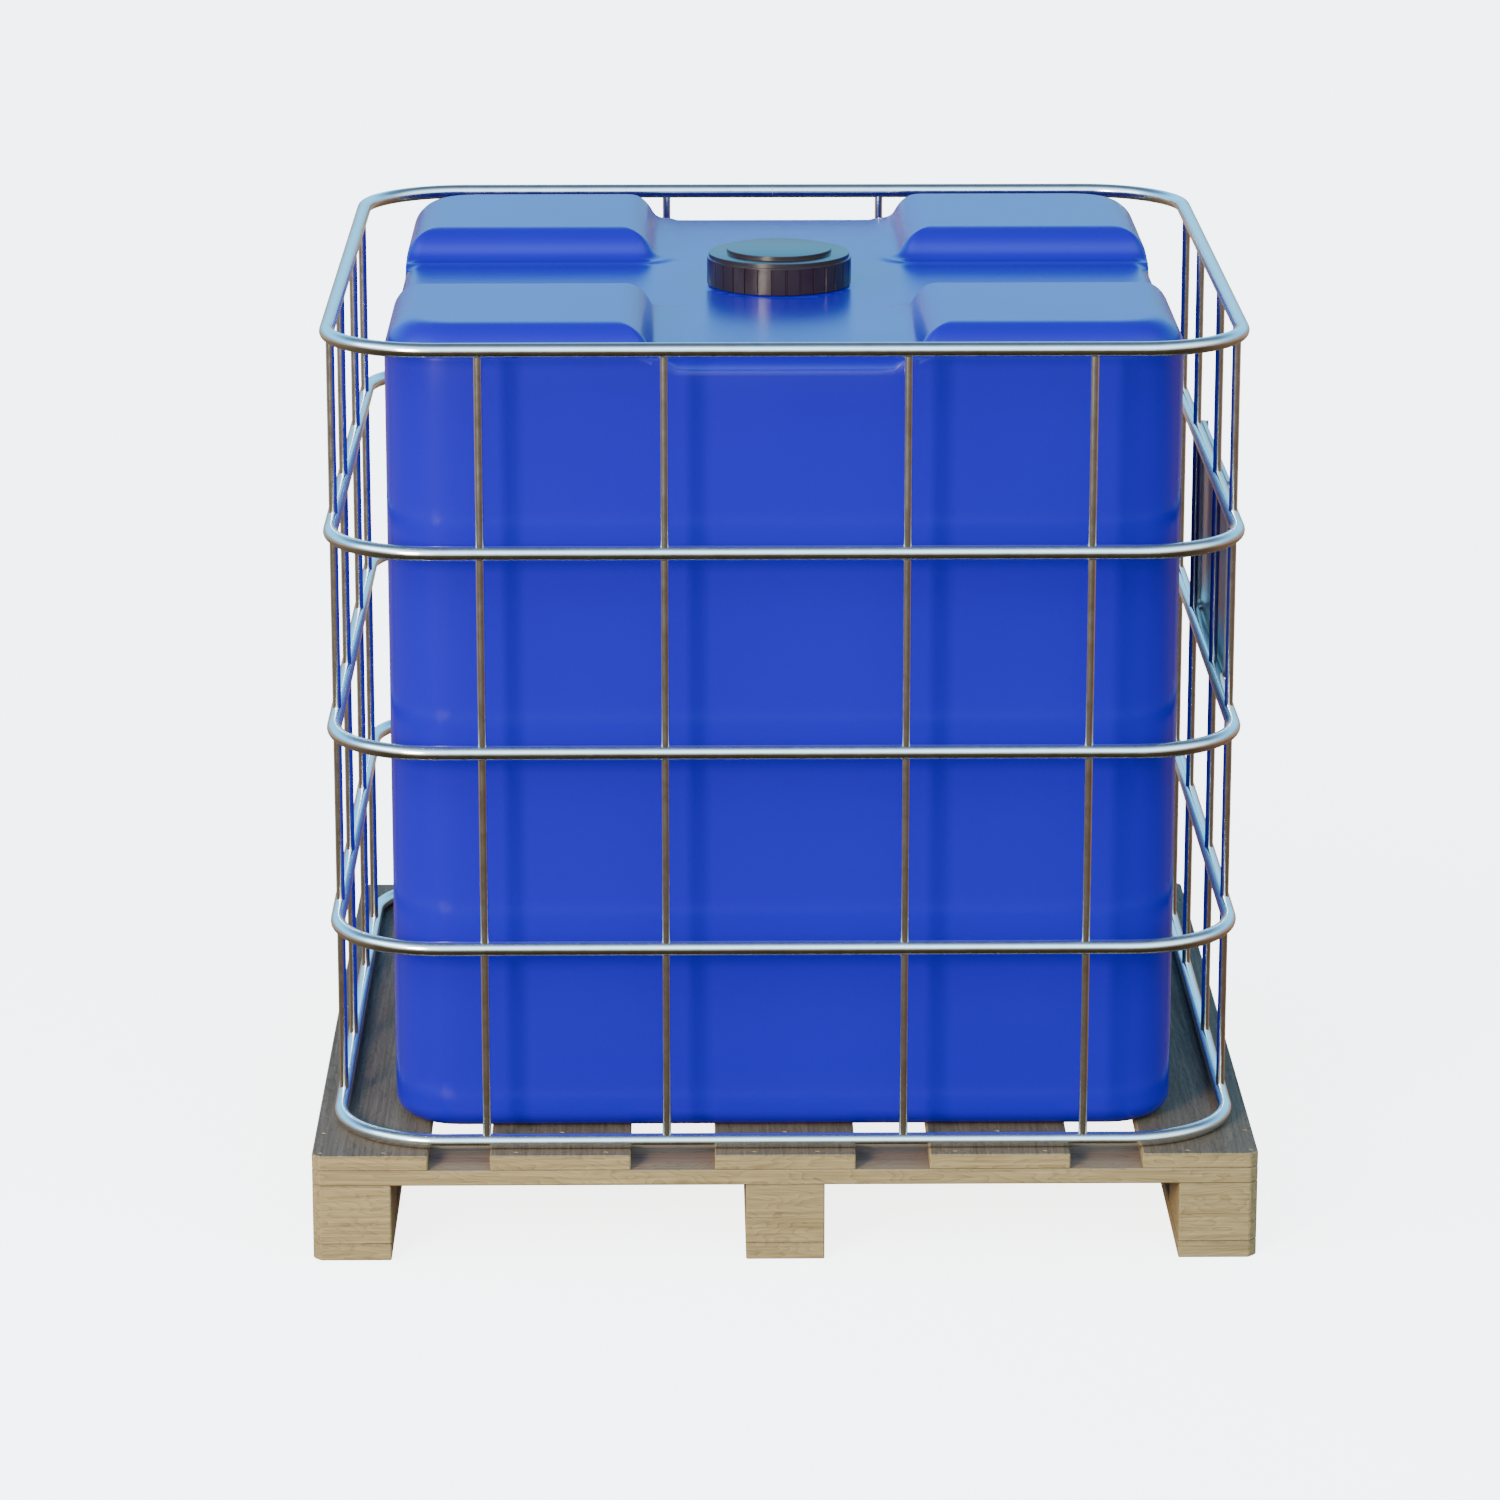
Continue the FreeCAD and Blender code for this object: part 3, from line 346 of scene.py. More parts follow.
def rounded_corner(first, second, radius):
    """Distance inside two faces of a block whose shared corner is rounded."""
    if first < radius and second < radius:
        return radius - math.hypot(radius - first, radius - second)
    return min(first, second)


def wall_distance(x, y):
    """Distance inside the tank's rounded square outline."""
    return rounded_corner(TANK_HALF - abs(x), TANK_HALF - abs(y), TANK_CORNER)


def outline_normal(x, y):
    """Outward direction of the tank's outline at a point on it."""
    flat = TANK_HALF - TANK_CORNER
    toward = Vector((math.copysign(max(abs(x) - flat, 0.0), x),
                     math.copysign(max(abs(y) - flat, 0.0), y)))
    if toward.length == 0:
        toward = Vector((x, y))
    return toward.normalized()


FOOT_END = FOOT_ROUND * math.sin(PILLOW_SLOPE)
FOOT_RISE = FOOT_ROUND * (1 - math.cos(PILLOW_SLOPE))
CREST_RISE = CREST_ROUND * (1 - math.cos(PILLOW_SLOPE))
STRAIGHT_RISE = PILLOW_HEIGHT - FOOT_RISE - CREST_RISE
CREST_START = FOOT_END + STRAIGHT_RISE / math.tan(PILLOW_SLOPE)
CREST_END = CREST_START + CREST_ROUND * math.sin(PILLOW_SLOPE)


def slope_height(inside):
    """A pillow's inner side: hollow foot, straight slope, rounded crest.

    Beyond the foot it falls away, so that the valley's own level takes over."""
    if inside <= 0:
        return -inside * inside / (2 * FALL_ROUND)
    if inside < FOOT_END:
        return FOOT_ROUND - math.sqrt(FOOT_ROUND ** 2 - inside ** 2)
    if inside < CREST_START:
        return FOOT_RISE + (inside - FOOT_END) * math.tan(PILLOW_SLOPE)
    if inside < CREST_END:
        short = CREST_END - inside
        return PILLOW_HEIGHT - CREST_ROUND + math.sqrt(CREST_ROUND ** 2 - short ** 2)
    return PILLOW_HEIGHT


HALVINGS = 30


def slope_distance(height):
    """Where along the inner side's profile a height is reached."""
    if height < 0:
        return -math.sqrt(-2 * FALL_ROUND * height)
    low, high = 0.0, CREST_END
    for _ in range(HALVINGS):
        middle = (low + high) / 2
        if slope_height(middle) < height:
            low = middle
        else:
            high = middle
    return high


def edge_distance(outside):
    """A pillow's outer edge as a distance along the inner side's profile."""
    if outside >= EDGE_ROUND:
        return CREST_END + outside - EDGE_ROUND
    short = EDGE_ROUND - max(outside, 0.0)
    drop = EDGE_ROUND - math.sqrt(EDGE_ROUND ** 2 - short ** 2)
    return slope_distance(PILLOW_HEIGHT - drop)


def pillow_height(x, y):
    """Height over the valley of the pillow in this quarter of the top."""
    inner_x = abs(x) - PILLOW_START
    inner_y = abs(y) - PILLOW_START
    outer_x = edge_distance(TANK_HALF - abs(x))
    outer_y = edge_distance(TANK_HALF - abs(y))
    corner = edge_distance(wall_distance(x, y))
    inside = min(
        rounded_corner(inner_x, inner_y, PILLOW_CORNER),
        rounded_corner(inner_x, outer_y, PILLOW_CORNER),
        rounded_corner(outer_x, inner_y, PILLOW_CORNER),
        corner,
    )
    return slope_height(inside)


def shoulder_profile(inside):
    """Height of the plain shoulder under the valley's level."""
    short = max(SHOULDER_ROUND - inside, 0.0)
    return math.sqrt(max(SHOULDER_ROUND ** 2 - short ** 2, 0.0)) - SHOULDER_ROUND


def smooth_max(first, second, reach):
    """The larger value, with a fillet where the two are close."""
    near = max(reach - abs(first - second), 0.0) / reach
    return max(first, second) + near * near * reach / 4


def top_height(x, y):
    """Height of the tank's top: pillows and the shoulder's round, blended."""
    inside = max(wall_distance(x, y), 0.0)
    pillow = pillow_height(x, y)
    return TANK_TOP + smooth_max(shoulder_profile(inside), pillow, FOOT_BLEND)


# The top's grid lines: how far in from the outline the outer ones lie, then rows of
# even steps as start, end and count. The rows are measured outward from a pillow's
# foot, apart from the valley row's end, which is measured from the middle.
RIM_INSETS = (0, 0.0006, 0.0016, 0.003, 0.0045, 0.006, 0.008, 0.0105, 0.0135, 0.017, 0.021,
              0.0255, 0.030, 0.035, 0.041, 0.048, 0.055, 0.061)
PILLOW_LINES = (0.270, 0.070, 8)
SLOPE_LINES = (0.064, -0.006, 28)
VALLEY_LINES = (-0.012, 0.018, 7)


def grid_lines():
    """Places of the top's grid lines: close together where the form turns."""
    positive = [TANK_HALF - inset for inset in RIM_INSETS]
    for start, end, count in (PILLOW_LINES, SLOPE_LINES):
        positive += steps(PILLOW_START + start, PILLOW_START + end, count)
    start, end, count = VALLEY_LINES
    positive += steps(PILLOW_START + start, end, count)
    return positive + [0.0] + [-value for value in reversed(positive)]


def to_round_square(u, v):
    """Bend a square grid so that its corners follow the tank's round corners."""
    flat = TANK_HALF - TANK_CORNER
    a = abs(u) - flat
    b = abs(v) - flat
    if a <= 0 or b <= 0:
        return u, v
    reach = max(a, b)
    turn = math.pi / 4 * min(a, b) / reach
    if b > a:
        turn = math.pi / 2 - turn
    x = flat + reach * math.cos(turn)
    y = flat + reach * math.sin(turn)
    return math.copysign(x, u), math.copysign(y, v)


def tank_top(build):
    """The tank's top as a grid; returns its boundary in order."""
    lines = grid_lines()
    rows = []
    for v in lines:
        row = []
        for u in lines:
            x, y = to_round_square(u, v)
            row.append(build.verts.new((x, y, top_height(x, y))))
        rows.append(row)
    for low, high in zip(rows, rows[1:]):
        for index in range(len(lines) - 1):
            build.faces.new((low[index], low[index + 1], high[index + 1], high[index]))
    rim = rows[0][:-1] + [row[-1] for row in rows[:-1]]
    rim += rows[-1][:0:-1] + [row[0] for row in rows[:0:-1]]
    return rim


# The wall's rings: two drops below the valley's level, then even bands.
SHOULDER_LEVELS = (0.060, 0.085)
WALL_MARGIN = 0.15
WALL_BANDS = 6


def tank_walls(build, rim):
    """Upright walls under the top's boundary, then the round into the base."""
    levels = [TANK_TOP - drop for drop in SHOULDER_LEVELS]
    levels += steps(TANK_TOP - WALL_MARGIN, TANK_LOW.z + WALL_MARGIN, WALL_BANDS)
    levels.append(TANK_LOW.z + BASE_ROUND)
    rings = [rim]
    for level in levels:
        rings.append([build.verts.new((vert.co.x, vert.co.y, level)) for vert in rim])
    for angle in steps(10, 90, 8):
        turn = math.radians(angle)
        inset = BASE_ROUND * (1 - math.cos(turn))
        drop = BASE_ROUND * (1 - math.sin(turn))
        ring = []
        for vert in rim:
            inward = outline_normal(vert.co.x, vert.co.y) * inset
            ring.append(build.verts.new((vert.co.x - inward.x, vert.co.y - inward.y,
                                         TANK_LOW.z + drop)))
        rings.append(ring)
    for upper, lower in zip(rings, rings[1:]):
        for index in range(len(rim)):
            following = (index + 1) % len(rim)
            build.faces.new((upper[index], upper[following], lower[following], lower[index]))
    build.faces.new(rings[-1])


RECESS_HALF = 0.130
RECESS_TOP = 0.350
RECESS_BACK = 0.410
RECESS_ROUND = 0.014
RECESS_EDGE_ROUND = 0.006
CUT_MARGIN = 0.05
OUTLET_LEVEL = 0.225
OUTLET = (0, RECESS_BACK, OUTLET_LEVEL)
# How far the neck and the spigot reach into the wall that they stand on.
ROOT = -0.010


def build_neck():
    """The filling neck, rooted in the valley's wall."""
    inner, outer, foot = 0.075, 0.085, 0.093
    foot_height, foot_round, lip_round = 0.006, 0.005, 0.001
    corners = [(inner, ROOT, 0), (foot, ROOT, 0), (foot, 0.0, 0),
               (outer, foot_height, foot_round), (outer, NECK_HEIGHT, lip_round),
               (inner, NECK_HEIGHT, lip_round)]
    return turned("neck", corners, (0, 0, TANK_TOP))


def build_spigot():
    """The outlet spigot, rooted in the recess's back wall."""
    inner, outer, foot, length = 0.025, 0.030, 0.034, 0.032
    foot_height, foot_round, lip_round = 0.0035, 0.003, 0.001
    corners = [(inner, ROOT, 0), (foot, ROOT, 0), (foot, 0.0, 0),
               (outer, foot_height, foot_round), (outer, length, lip_round),
               (inner, length, lip_round)]
    return turned("spigot", corners, OUTLET, along_y=True)


def build_tank_skin():
    """The tank's visible form, with its valve recess, neck and outlet spigot."""
    build = bmesh.new()
    tank_walls(build, tank_top(build))
    skin = finish_mesh("tank_skin", build, WIDE_SHARP_ANGLE)
    cutter = box_mesh("recess_cutter", (-RECESS_HALF, RECESS_BACK, TANK_LOW.z - CUT_MARGIN),
                      (RECESS_HALF, TANK_HALF + CUT_MARGIN, RECESS_TOP))
    bevel_edges(cutter, RECESS_ROUND, 5)
    combine(skin, cutter, "DIFFERENCE")
    bevel_edges(skin, RECESS_EDGE_ROUND, 4, WIDE_SHARP_ANGLE)
    neck = build_neck()
    spigot = build_spigot()
    combine(skin, neck, "UNION")
    combine(skin, spigot, "UNION")
    smooth_shade(skin, WIDE_SHARP_ANGLE)
    finish_piece(skin, tank_plastic(), "container", "tank")


# ------------------------------------------------------------------ lid, caps and nut

# A groove's wall runs between these, in half widths from its middle.
GROOVE_INNER = 0.65
GROOVE_OUTER = 1.35
# Points up to this far behind the rim are pressed in with it.
GROOVE_REACH = 0.0016
# How far past its nominal end a groove's last points lie.
GROOVE_STEP = 0.0005


def groove_angles(count, radius, width, phase=0.0):
    """Angles for a grooved rim: six across each groove, two on the rib between."""
    pitch = 360 / count
    half = math.degrees(width / radius) / 2
    spread = [-GROOVE_OUTER, -1.0, -GROOVE_INNER, GROOVE_INNER, 1.0, GROOVE_OUTER]
    edge = half * GROOVE_OUTER
    rib = [edge + (pitch - 2 * edge) * share for share in (0.33, 0.67)]
    return [phase + pitch * index + offset for index in range(count)
            for offset in [half * place for place in spread] + rib]


def groove_inset(count, radius, width, depth, end, phase=0.0):
    """How deep a rim whose grooves stop at a height is pressed in, for turned()."""
    pitch = 360 / count

    def inset(angle, r, z):
        if r < radius - GROOVE_REACH or z > end - GROOVE_STEP:
            return 0.0
        off = abs((angle - phase + pitch / 2) % pitch - pitch / 2)
        across = math.radians(off) * radius / (width / 2)
        wall = (across - GROOVE_INNER) / (GROOVE_OUTER - GROOVE_INNER)
        return depth * (1 - smooth(wall))

    return inset


def groove_end(radius, end, drop=0.001):
    """The two profile corners between which a rim's grooves stop."""
    return [(radius, end - drop, 0), (radius, end + GROOVE_STEP, 0)]


GRIP_WIDTH = 0.0022
GRIP_DEPTH = 0.0014
LID_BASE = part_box("lid")[0].z
LID_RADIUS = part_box("lid")[1].x
LID_GROOVES = 32
LID_PHASE = 5.05


def build_lid(material):
    """The screw lid: a ribbed skirt, a stepped shoulder and a raised disc."""
    groove_top, skirt_top, step_top, top = 0.033, 0.0360, 0.0415, 0.0470
    skirt_inner, step_radius, disc_radius, disc_inner = 0.0860, 0.0925, 0.0690, 0.0650
    skirt_ceiling, disc_ceiling = 0.0290, 0.0430
    corners = [
        (skirt_inner, 0.0, 0.0004), (LID_RADIUS, 0.0, 0.0012),
        *groove_end(LID_RADIUS, groove_top),
        (LID_RADIUS, skirt_top, 0.0009), (step_radius, skirt_top, 0.0005),
        (step_radius, step_top, 0.0008), (disc_radius, step_top, 0.0006),
        (disc_radius, top, 0.0007), (0.0, top, 0),
        (0.0, disc_ceiling, 0), (disc_inner, disc_ceiling, 0.001),
        (disc_inner, skirt_ceiling, 0), (skirt_inner, skirt_ceiling, 0),
    ]
    angles = groove_angles(LID_GROOVES, LID_RADIUS, GRIP_WIDTH, LID_PHASE)
    inset = groove_inset(LID_GROOVES, LID_RADIUS, GRIP_WIDTH, GRIP_DEPTH, groove_top,
                         LID_PHASE)
    lid = turned("screw_lid", corners, (0, 0, LID_BASE), angles, inset)
    finish_piece(lid, material, "lid", "lid")


CAP_GROOVES = 24


def build_outlet_cap(material):
    """The dust cap on the outlet, with a shallow dished face."""
    radius, inner, dish_radius = 0.038, 0.0308, 0.0290
    start, groove_top, end = 0.127, 0.153, 0.157
    dish = end - 0.0010
    ceiling = end - 0.0050
    corners = [
        (inner, start, 0.0004), (radius, start, 0.0010),
        *groove_end(radius, groove_top),
        (radius, end, 0.0020), (0.0300, end, 0.0006), (dish_radius, dish, 0.0004),
        (0.0, dish, 0), (0.0, ceiling, 0), (inner, ceiling, 0),
    ]
    angles = groove_angles(CAP_GROOVES, radius, GRIP_WIDTH)
    inset = groove_inset(CAP_GROOVES, radius, GRIP_WIDTH, GRIP_DEPTH, groove_top)
    cap = turned("dust_cap", corners, OUTLET, angles, inset, along_y=True)
    finish_piece(cap, material, "outlet_cap", "outlet_cap")


NUT_GROOVES = 12


def build_union_nut(material):
    """The ribbed nut that draws the valve onto the tank's spigot."""
    radius, thread_radius, flange_radius, bore = 0.043, 0.0308, 0.0348, 0.0313
    start, thread_end, groove_top, end = 0.0040, 0.0330, 0.040, 0.0460
    width, depth = 0.007, 0.0025
    corners = [
        (thread_radius, start, 0.0004), (radius, start, 0.0012),
        *groove_end(radius, groove_top, 0.0015),
        (radius, end, 0.0022), (bore, end, 0.0006), (bore, groove_top, 0),
        (flange_radius, groove_top, 0), (flange_radius, thread_end, 0),
        (thread_radius, thread_end, 0),
    ]
    angles = groove_angles(NUT_GROOVES, radius, width)
    inset = groove_inset(NUT_GROOVES, radius, width, depth, groove_top)
    nut = turned("valve_nut", corners, OUTLET, angles, inset, along_y=True)
    finish_piece(nut, material, "container", "union_nut")


# ------------------------------------------------------------------ valve

BORE = 0.025
PLUG_RADIUS = 0.033
BARREL_RADIUS = 0.042
BARREL_END = 0.118
BALL_PLACE = RECESS_BACK + 0.080
BOSS_RISE = 0.058
BOSS_RADIUS = 0.017
STEM_HOLE_RADIUS = 0.00805


def build_barrel():
    """The barrel lying along Y: a spigot end, then the body between two rims."""
    collar, spigot, socket = 0.034, 0.0305, 0.049
    waist = BARREL_RADIUS - 0.0015
    corners = [
        (BORE, 0.0345, 0), (collar, 0.0345, 0.0006), (collar, 0.0400, 0.0006),
        (spigot, 0.0400, 0), (spigot, 0.0475, 0.0010), (BARREL_RADIUS, 0.0475, 0.0025),
        (BARREL_RADIUS, 0.0540, 0.0008), (waist, 0.0555, 0.0008),
        (waist, 0.1060, 0.0008), (BARREL_RADIUS, 0.1075, 0.0008),
        (BARREL_RADIUS, BARREL_END, 0.0006), (PLUG_RADIUS, BARREL_END, 0),
        (PLUG_RADIUS, socket, 0), (BORE, socket, 0),
    ]
    return turned("valve_barrel", corners, OUTLET, along_y=True)


def build_valve_body(material):
    """The moulded barrel with its flange and stiffening rings, and the stem's boss."""
    body = build_barrel()
    axis = (0, BALL_PLACE, OUTLET_LEVEL)
    boss_corners = [(0.0, 0.036, 0), (0.0215, 0.036, 0), (BOSS_RADIUS, 0.047, 0.004),
                    (BOSS_RADIUS, BOSS_RISE, 0.0015), (0.0, BOSS_RISE, 0)]
    combine(body, turned("stem_boss", boss_corners, axis), "UNION")
    low, high = 0.027, 0.070
    hole_corners = [(0.0, low, 0), (STEM_HOLE_RADIUS, low, 0), (STEM_HOLE_RADIUS, high, 0),
                    (0.0, high, 0)]
    combine(body, turned("stem_hole", hole_corners, axis), "DIFFERENCE")
    smooth_shade(body)
    finish_piece(body, material, "container", "valve_body")


THREAD_PITCH = 0.0045
THREAD_HEIGHT = 0.0006
THREAD_RIDGES = 5


def build_valve_tail(material):
    """The outlet piece: plug, flange, and a spout with a coarse thread."""
    start, flange_end, end, radius = 0.111, 0.124, 0.150, 0.030
    corners = [(BORE, start, 0), (PLUG_RADIUS, start, 0), (PLUG_RADIUS, BARREL_END, 0),
               (BARREL_RADIUS, BARREL_END, 0.0008), (BARREL_RADIUS, flange_end, 0.0012),
               (radius, flange_end, 0.0004)]
    crest = radius + THREAD_HEIGHT
    for index in range(THREAD_RIDGES):
        ridge = flange_end + 0.003 + THREAD_PITCH * index
        corners += [(radius, ridge, 0), (crest, ridge + 0.0008, 0),
                    (crest, ridge + 0.0014, 0), (radius, ridge + 0.0022, 0)]
    corners += [(radius, end, 0.0006), (BORE, end, 0.0006)]
    tail = turned("valve_spout", corners, OUTLET, along_y=True)
    finish_piece(tail, material, "container", "valve_tail")


# ------------------------------------------------------------------ lever

LEVER_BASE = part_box("valve_lever")[0].z
LEVER_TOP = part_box("valve_lever")[1].z
LEVER_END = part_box("valve_lever")[1].x
HUB_RADIUS = 0.016
ARM_HALF = 0.011
ARM_END_ROUND = 0.0108
PANEL_BORDER = 0.0035
PANEL_DEPTH = 0.0018
PANEL_START = 0.022
PANEL_HALF = 0.0070
LEVER_EDGE_ROUND = 0.0011
SQUARE_HALF = 0.0056
LEVER_CUT = 0.01


def upright_prism(name, outline, low, high):
    """An outline over the ball's axis, raised between two heights."""
    build = bmesh.new()
    base = [build.verts.new((x, BALL_PLACE + y, low)) for x, y in outline]
    face = build.faces.new(base)
    raised = bmesh.ops.extrude_face_region(build, geom=[face])["geom"]
    for item in raised:
        if isinstance(item, bmesh.types.BMVert):
            item.co.z = high
    return finish_mesh(name, build)


def lever_outline(inset):
    """The lever seen from above: a round hub with a straight, round-ended arm."""
    hub = HUB_RADIUS - inset
    half = ARM_HALF - inset
    end_round = ARM_END_ROUND - inset
    reach = LEVER_END - inset
    meet = math.degrees(math.asin(half / hub))
    points = []
    for sign, first, last in ((-1, -90, 0), (1, 0, 90)):
        for angle in steps(first, last, 8):
            turn = math.radians(angle)
            points.append((reach - end_round + end_round * math.cos(turn),
                           sign * (half - end_round) + end_round * math.sin(turn)))
    for angle in steps(meet, 360 - meet, 28):
        turn = math.radians(angle)
        points.append((hub * math.cos(turn), hub * math.sin(turn)))
    return points


def build_lever(material):
    """The valve's lever, with rounded edges and a sunk panel along its arm."""
    lever = upright_prism("lever", lever_outline(0.0), LEVER_BASE, LEVER_TOP)
    arm = [(x, y) for x, y in lever_outline(PANEL_BORDER) if x > HUB_RADIUS]
    arm += [(PANEL_START, PANEL_HALF), (PANEL_START, -PANEL_HALF)]
    panel = upright_prism("lever_panel", arm, LEVER_TOP - PANEL_DEPTH, LEVER_TOP + LEVER_CUT)
    combine(lever, panel, "DIFFERENCE")
    bevel_edges(lever, LEVER_EDGE_ROUND, 3, WIDE_SHARP_ANGLE)
    square = box_mesh("lever_square",
                      (-SQUARE_HALF, BALL_PLACE - SQUARE_HALF, LEVER_BASE - LEVER_CUT),
                      (SQUARE_HALF, BALL_PLACE + SQUARE_HALF, LEVER_TOP + LEVER_CUT))
    combine(lever, square, "DIFFERENCE")
    smooth_shade(lever)
    finish_piece(lever, material, "valve_handle", "valve_lever")


# ------------------------------------------------------------------ wood

WOOD_LIGHT = (0.450, 0.292, 0.130)
WOOD_DARK = (0.180, 0.110, 0.042)
# Top colours of deck and cross boards: grey-brown wear, made darker still by painted shade on
# faces that look up.
DECK_SHADED_TOP_LIGHT = (0.170, 0.110, 0.066)
DECK_SHADED_TOP_DARK = (0.072, 0.045, 0.030)
CROSS_SHADED_TOP_LIGHT = (0.310, 0.200, 0.118)
CROSS_SHADED_TOP_DARK = (0.165, 0.102, 0.060)
# How fast each part of the grain changes along and across the fibres, per metre.
BROAD_GRAIN = (2.6, 13.0)
STREAK_GRAIN = (6.0, 210.0)
FIBRE_GRAIN = (9.0, 420.0)
RING_BANDS = 24.0
RING_STOPS = ((0.0, 0.15), (0.18, 0.60), (0.60, 0.85), (0.90, 1.0), (1.0, 0.15))
RING_PART, STREAK_PART, FIBRE_PART = 0.34, 0.40, 0.26


def grain_noise(nodes, vector, along, grain, shift, *noise_settings):
    """Noise drawn out along the grain's axis."""
    lengthwise, across = grain
    scale = {"X": (lengthwise, across, across), "Y": (across, lengthwise, across)}[along]
    return nodes.noise(nodes.stretched(vector, scale, shift), *noise_settings)


def wood_grain(nodes, vector, along, shift):
    """Lightness of sawn softwood, 0 to 1, with the grain along one axis."""
    broad = grain_noise(nodes, vector, along, BROAD_GRAIN, shift, 1.6, 3.0, 0.5, 0.35)
    bands = nodes.math("FRACT", nodes.math("MULTIPLY", broad, RING_BANDS))
    rings = nodes.ramp(bands, RING_STOPS)
    streak = grain_noise(nodes, vector, along, STREAK_GRAIN, shift, 1.0, 3.0, 0.6, 0.4)
    fibre = grain_noise(nodes, vector, along, FIBRE_GRAIN, shift, 1.0, 2.0, 0.5)
    share = nodes.math("MULTIPLY", rings, RING_PART)
    for noise, part in ((streak, STREAK_PART), (fibre, FIBRE_PART)):
        share = nodes.math("MULTIPLY_ADD", nodes.remap(noise, 0.30, 0.70), part, share)
    return nodes.remap(share, 0.15, 0.92)


def wood(name, along, seed, shaded_top_light, shaded_top_dark):
    """Sawn softwood: fresh on its sides; faces that look up take darker top colours, partly
    real grey-brown wear and partly painted shade.

    Faces toward the front or back have their grain level, whichever way the piece lies."""
    nodes = Nodes(name)
    place = nodes.place()
    shift = (seed * 3.1, seed * 1.7, seed * 2.3)
    normal = nodes.normal_parts()
    lengthwise = wood_grain(nodes, place, along, shift)
    level = wood_grain(nodes, place, "X", shift)
    frontal = nodes.remap(nodes.math("ABSOLUTE", normal[1]), 0.70, 0.75)
    share = nodes.blend(frontal, lengthwise, level)
    fresh = nodes.blend(share, (*WOOD_DARK, 1), (*WOOD_LIGHT, 1))
    # Faces that look up get the top colours: real wear plus painted shade.
    weathered_and_shaded = nodes.blend(share, (*shaded_top_dark, 1), (*shaded_top_light, 1))
    colour = nodes.blend(nodes.remap(normal[2], 0.55, 0.9), fresh, weathered_and_shaded)
    patches = nodes.noise(nodes.stretched(place, (1, 1, 1), shift), 5.5, 5.0, 0.6)
    stained = nodes.blend(1.0, colour, (0.70, 0.69, 0.70, 1), "MULTIPLY")
    colour = nodes.blend(nodes.remap(patches, 0.35, 0.75, 0.0, 0.45), colour, stained)
    nodes.bump(share, 0.40, 0.0006)
    roughness = nodes.remap(share, 0.0, 1.0, 0.72, 0.55)
    return nodes.surface(colour, roughness, specular=0.22)


def dress_pallet():
    """Every board and block gets its own grain."""
    members = [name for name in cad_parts
               if name.startswith(("deck_board", "cross_board", "bottom_board", "block_"))]
    for seed, name in enumerate(sorted(members), start=1):
        along = "Y" if name.startswith(("deck_board", "bottom_board")) else "X"
        # The top colours carry painted shade as well as wear.
        tops = (DECK_SHADED_TOP_LIGHT, DECK_SHADED_TOP_DARK)
        if name.startswith("cross"):
            tops = (CROSS_SHADED_TOP_LIGHT, CROSS_SHADED_TOP_DARK)
        dress(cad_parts[name], wood(f"wood_{name}", along, seed, *tops))


# ------------------------------------------------------------------ metal and plastic


def steel(name, tint, roughness, wear=0.06, scale=60.0):
    """Drawn or sheet steel: bright, with faint cloudiness in its polish."""
    nodes = Nodes(name)
    place = nodes.place()
    cloud = nodes.noise(place, scale, 4.0, 0.6)
    fine = nodes.noise(place, scale * 14, 3.0, 0.6)
    tone = nodes.ramp(nodes.remap(cloud, 0.3, 0.7, 0.93, 1.04), [(0.0, 0.0), (1.0, 1.0)])
    colour = nodes.blend(1.0, (*tint, 1), tone, "MULTIPLY")
    shine = nodes.remap(nodes.math("MULTIPLY_ADD", fine, 0.4, cloud), 0.4, 1.0,
                        roughness - wear, roughness + wear)
    nodes.bump(fine, 0.05, 0.0002)
    return nodes.surface(colour, shine, metallic=1.0)


MOULD_GRAIN = 900.0
MOULD_DEPTH = 0.00005


def moulded(name, colour, roughness, specular=0.5):
    """Moulded plastic with a fine surface texture and slight unevenness."""
    nodes = Nodes(name)
    place = nodes.place()
    fine = nodes.noise(place, MOULD_GRAIN, 2.0, 0.5)
    cloud = nodes.noise(place, 9.0, 3.0, 0.5)
    pale = tuple(min(channel * 1.25 + 0.004, 1.0) for channel in colour)
    tone = nodes.blend(cloud, (*colour, 1), (*pale, 1))
    shine = nodes.remap(cloud, 0.0, 1.0, roughness - 0.04, roughness + 0.06)
    nodes.bump(fine, 0.25, MOULD_DEPTH)
    return nodes.surface(tone, shine, specular=specular)


TANK_BLUES = ((0.0112, 0.0016, 0.270, 1), (0.0124, 0.0022, 0.320, 1))


def tank_plastic():
    """Blue blow-moulded polyethylene with a satin skin."""
    nodes = Nodes("blue_polyethylene")
    place = nodes.place()
    cloud = nodes.noise(nodes.stretched(place, (1, 1, 0.6)), 3.0, 3.0, 0.5)
    tone = nodes.blend(cloud, *TANK_BLUES)
    fine = nodes.noise(place, 420.0, 2.0, 0.5)
    nodes.bump(fine, 0.10, 0.0001)
    shine = nodes.remap(cloud, 0.0, 1.0, 0.20, 0.27)
    return nodes.surface(tone, shine, specular=0.42)


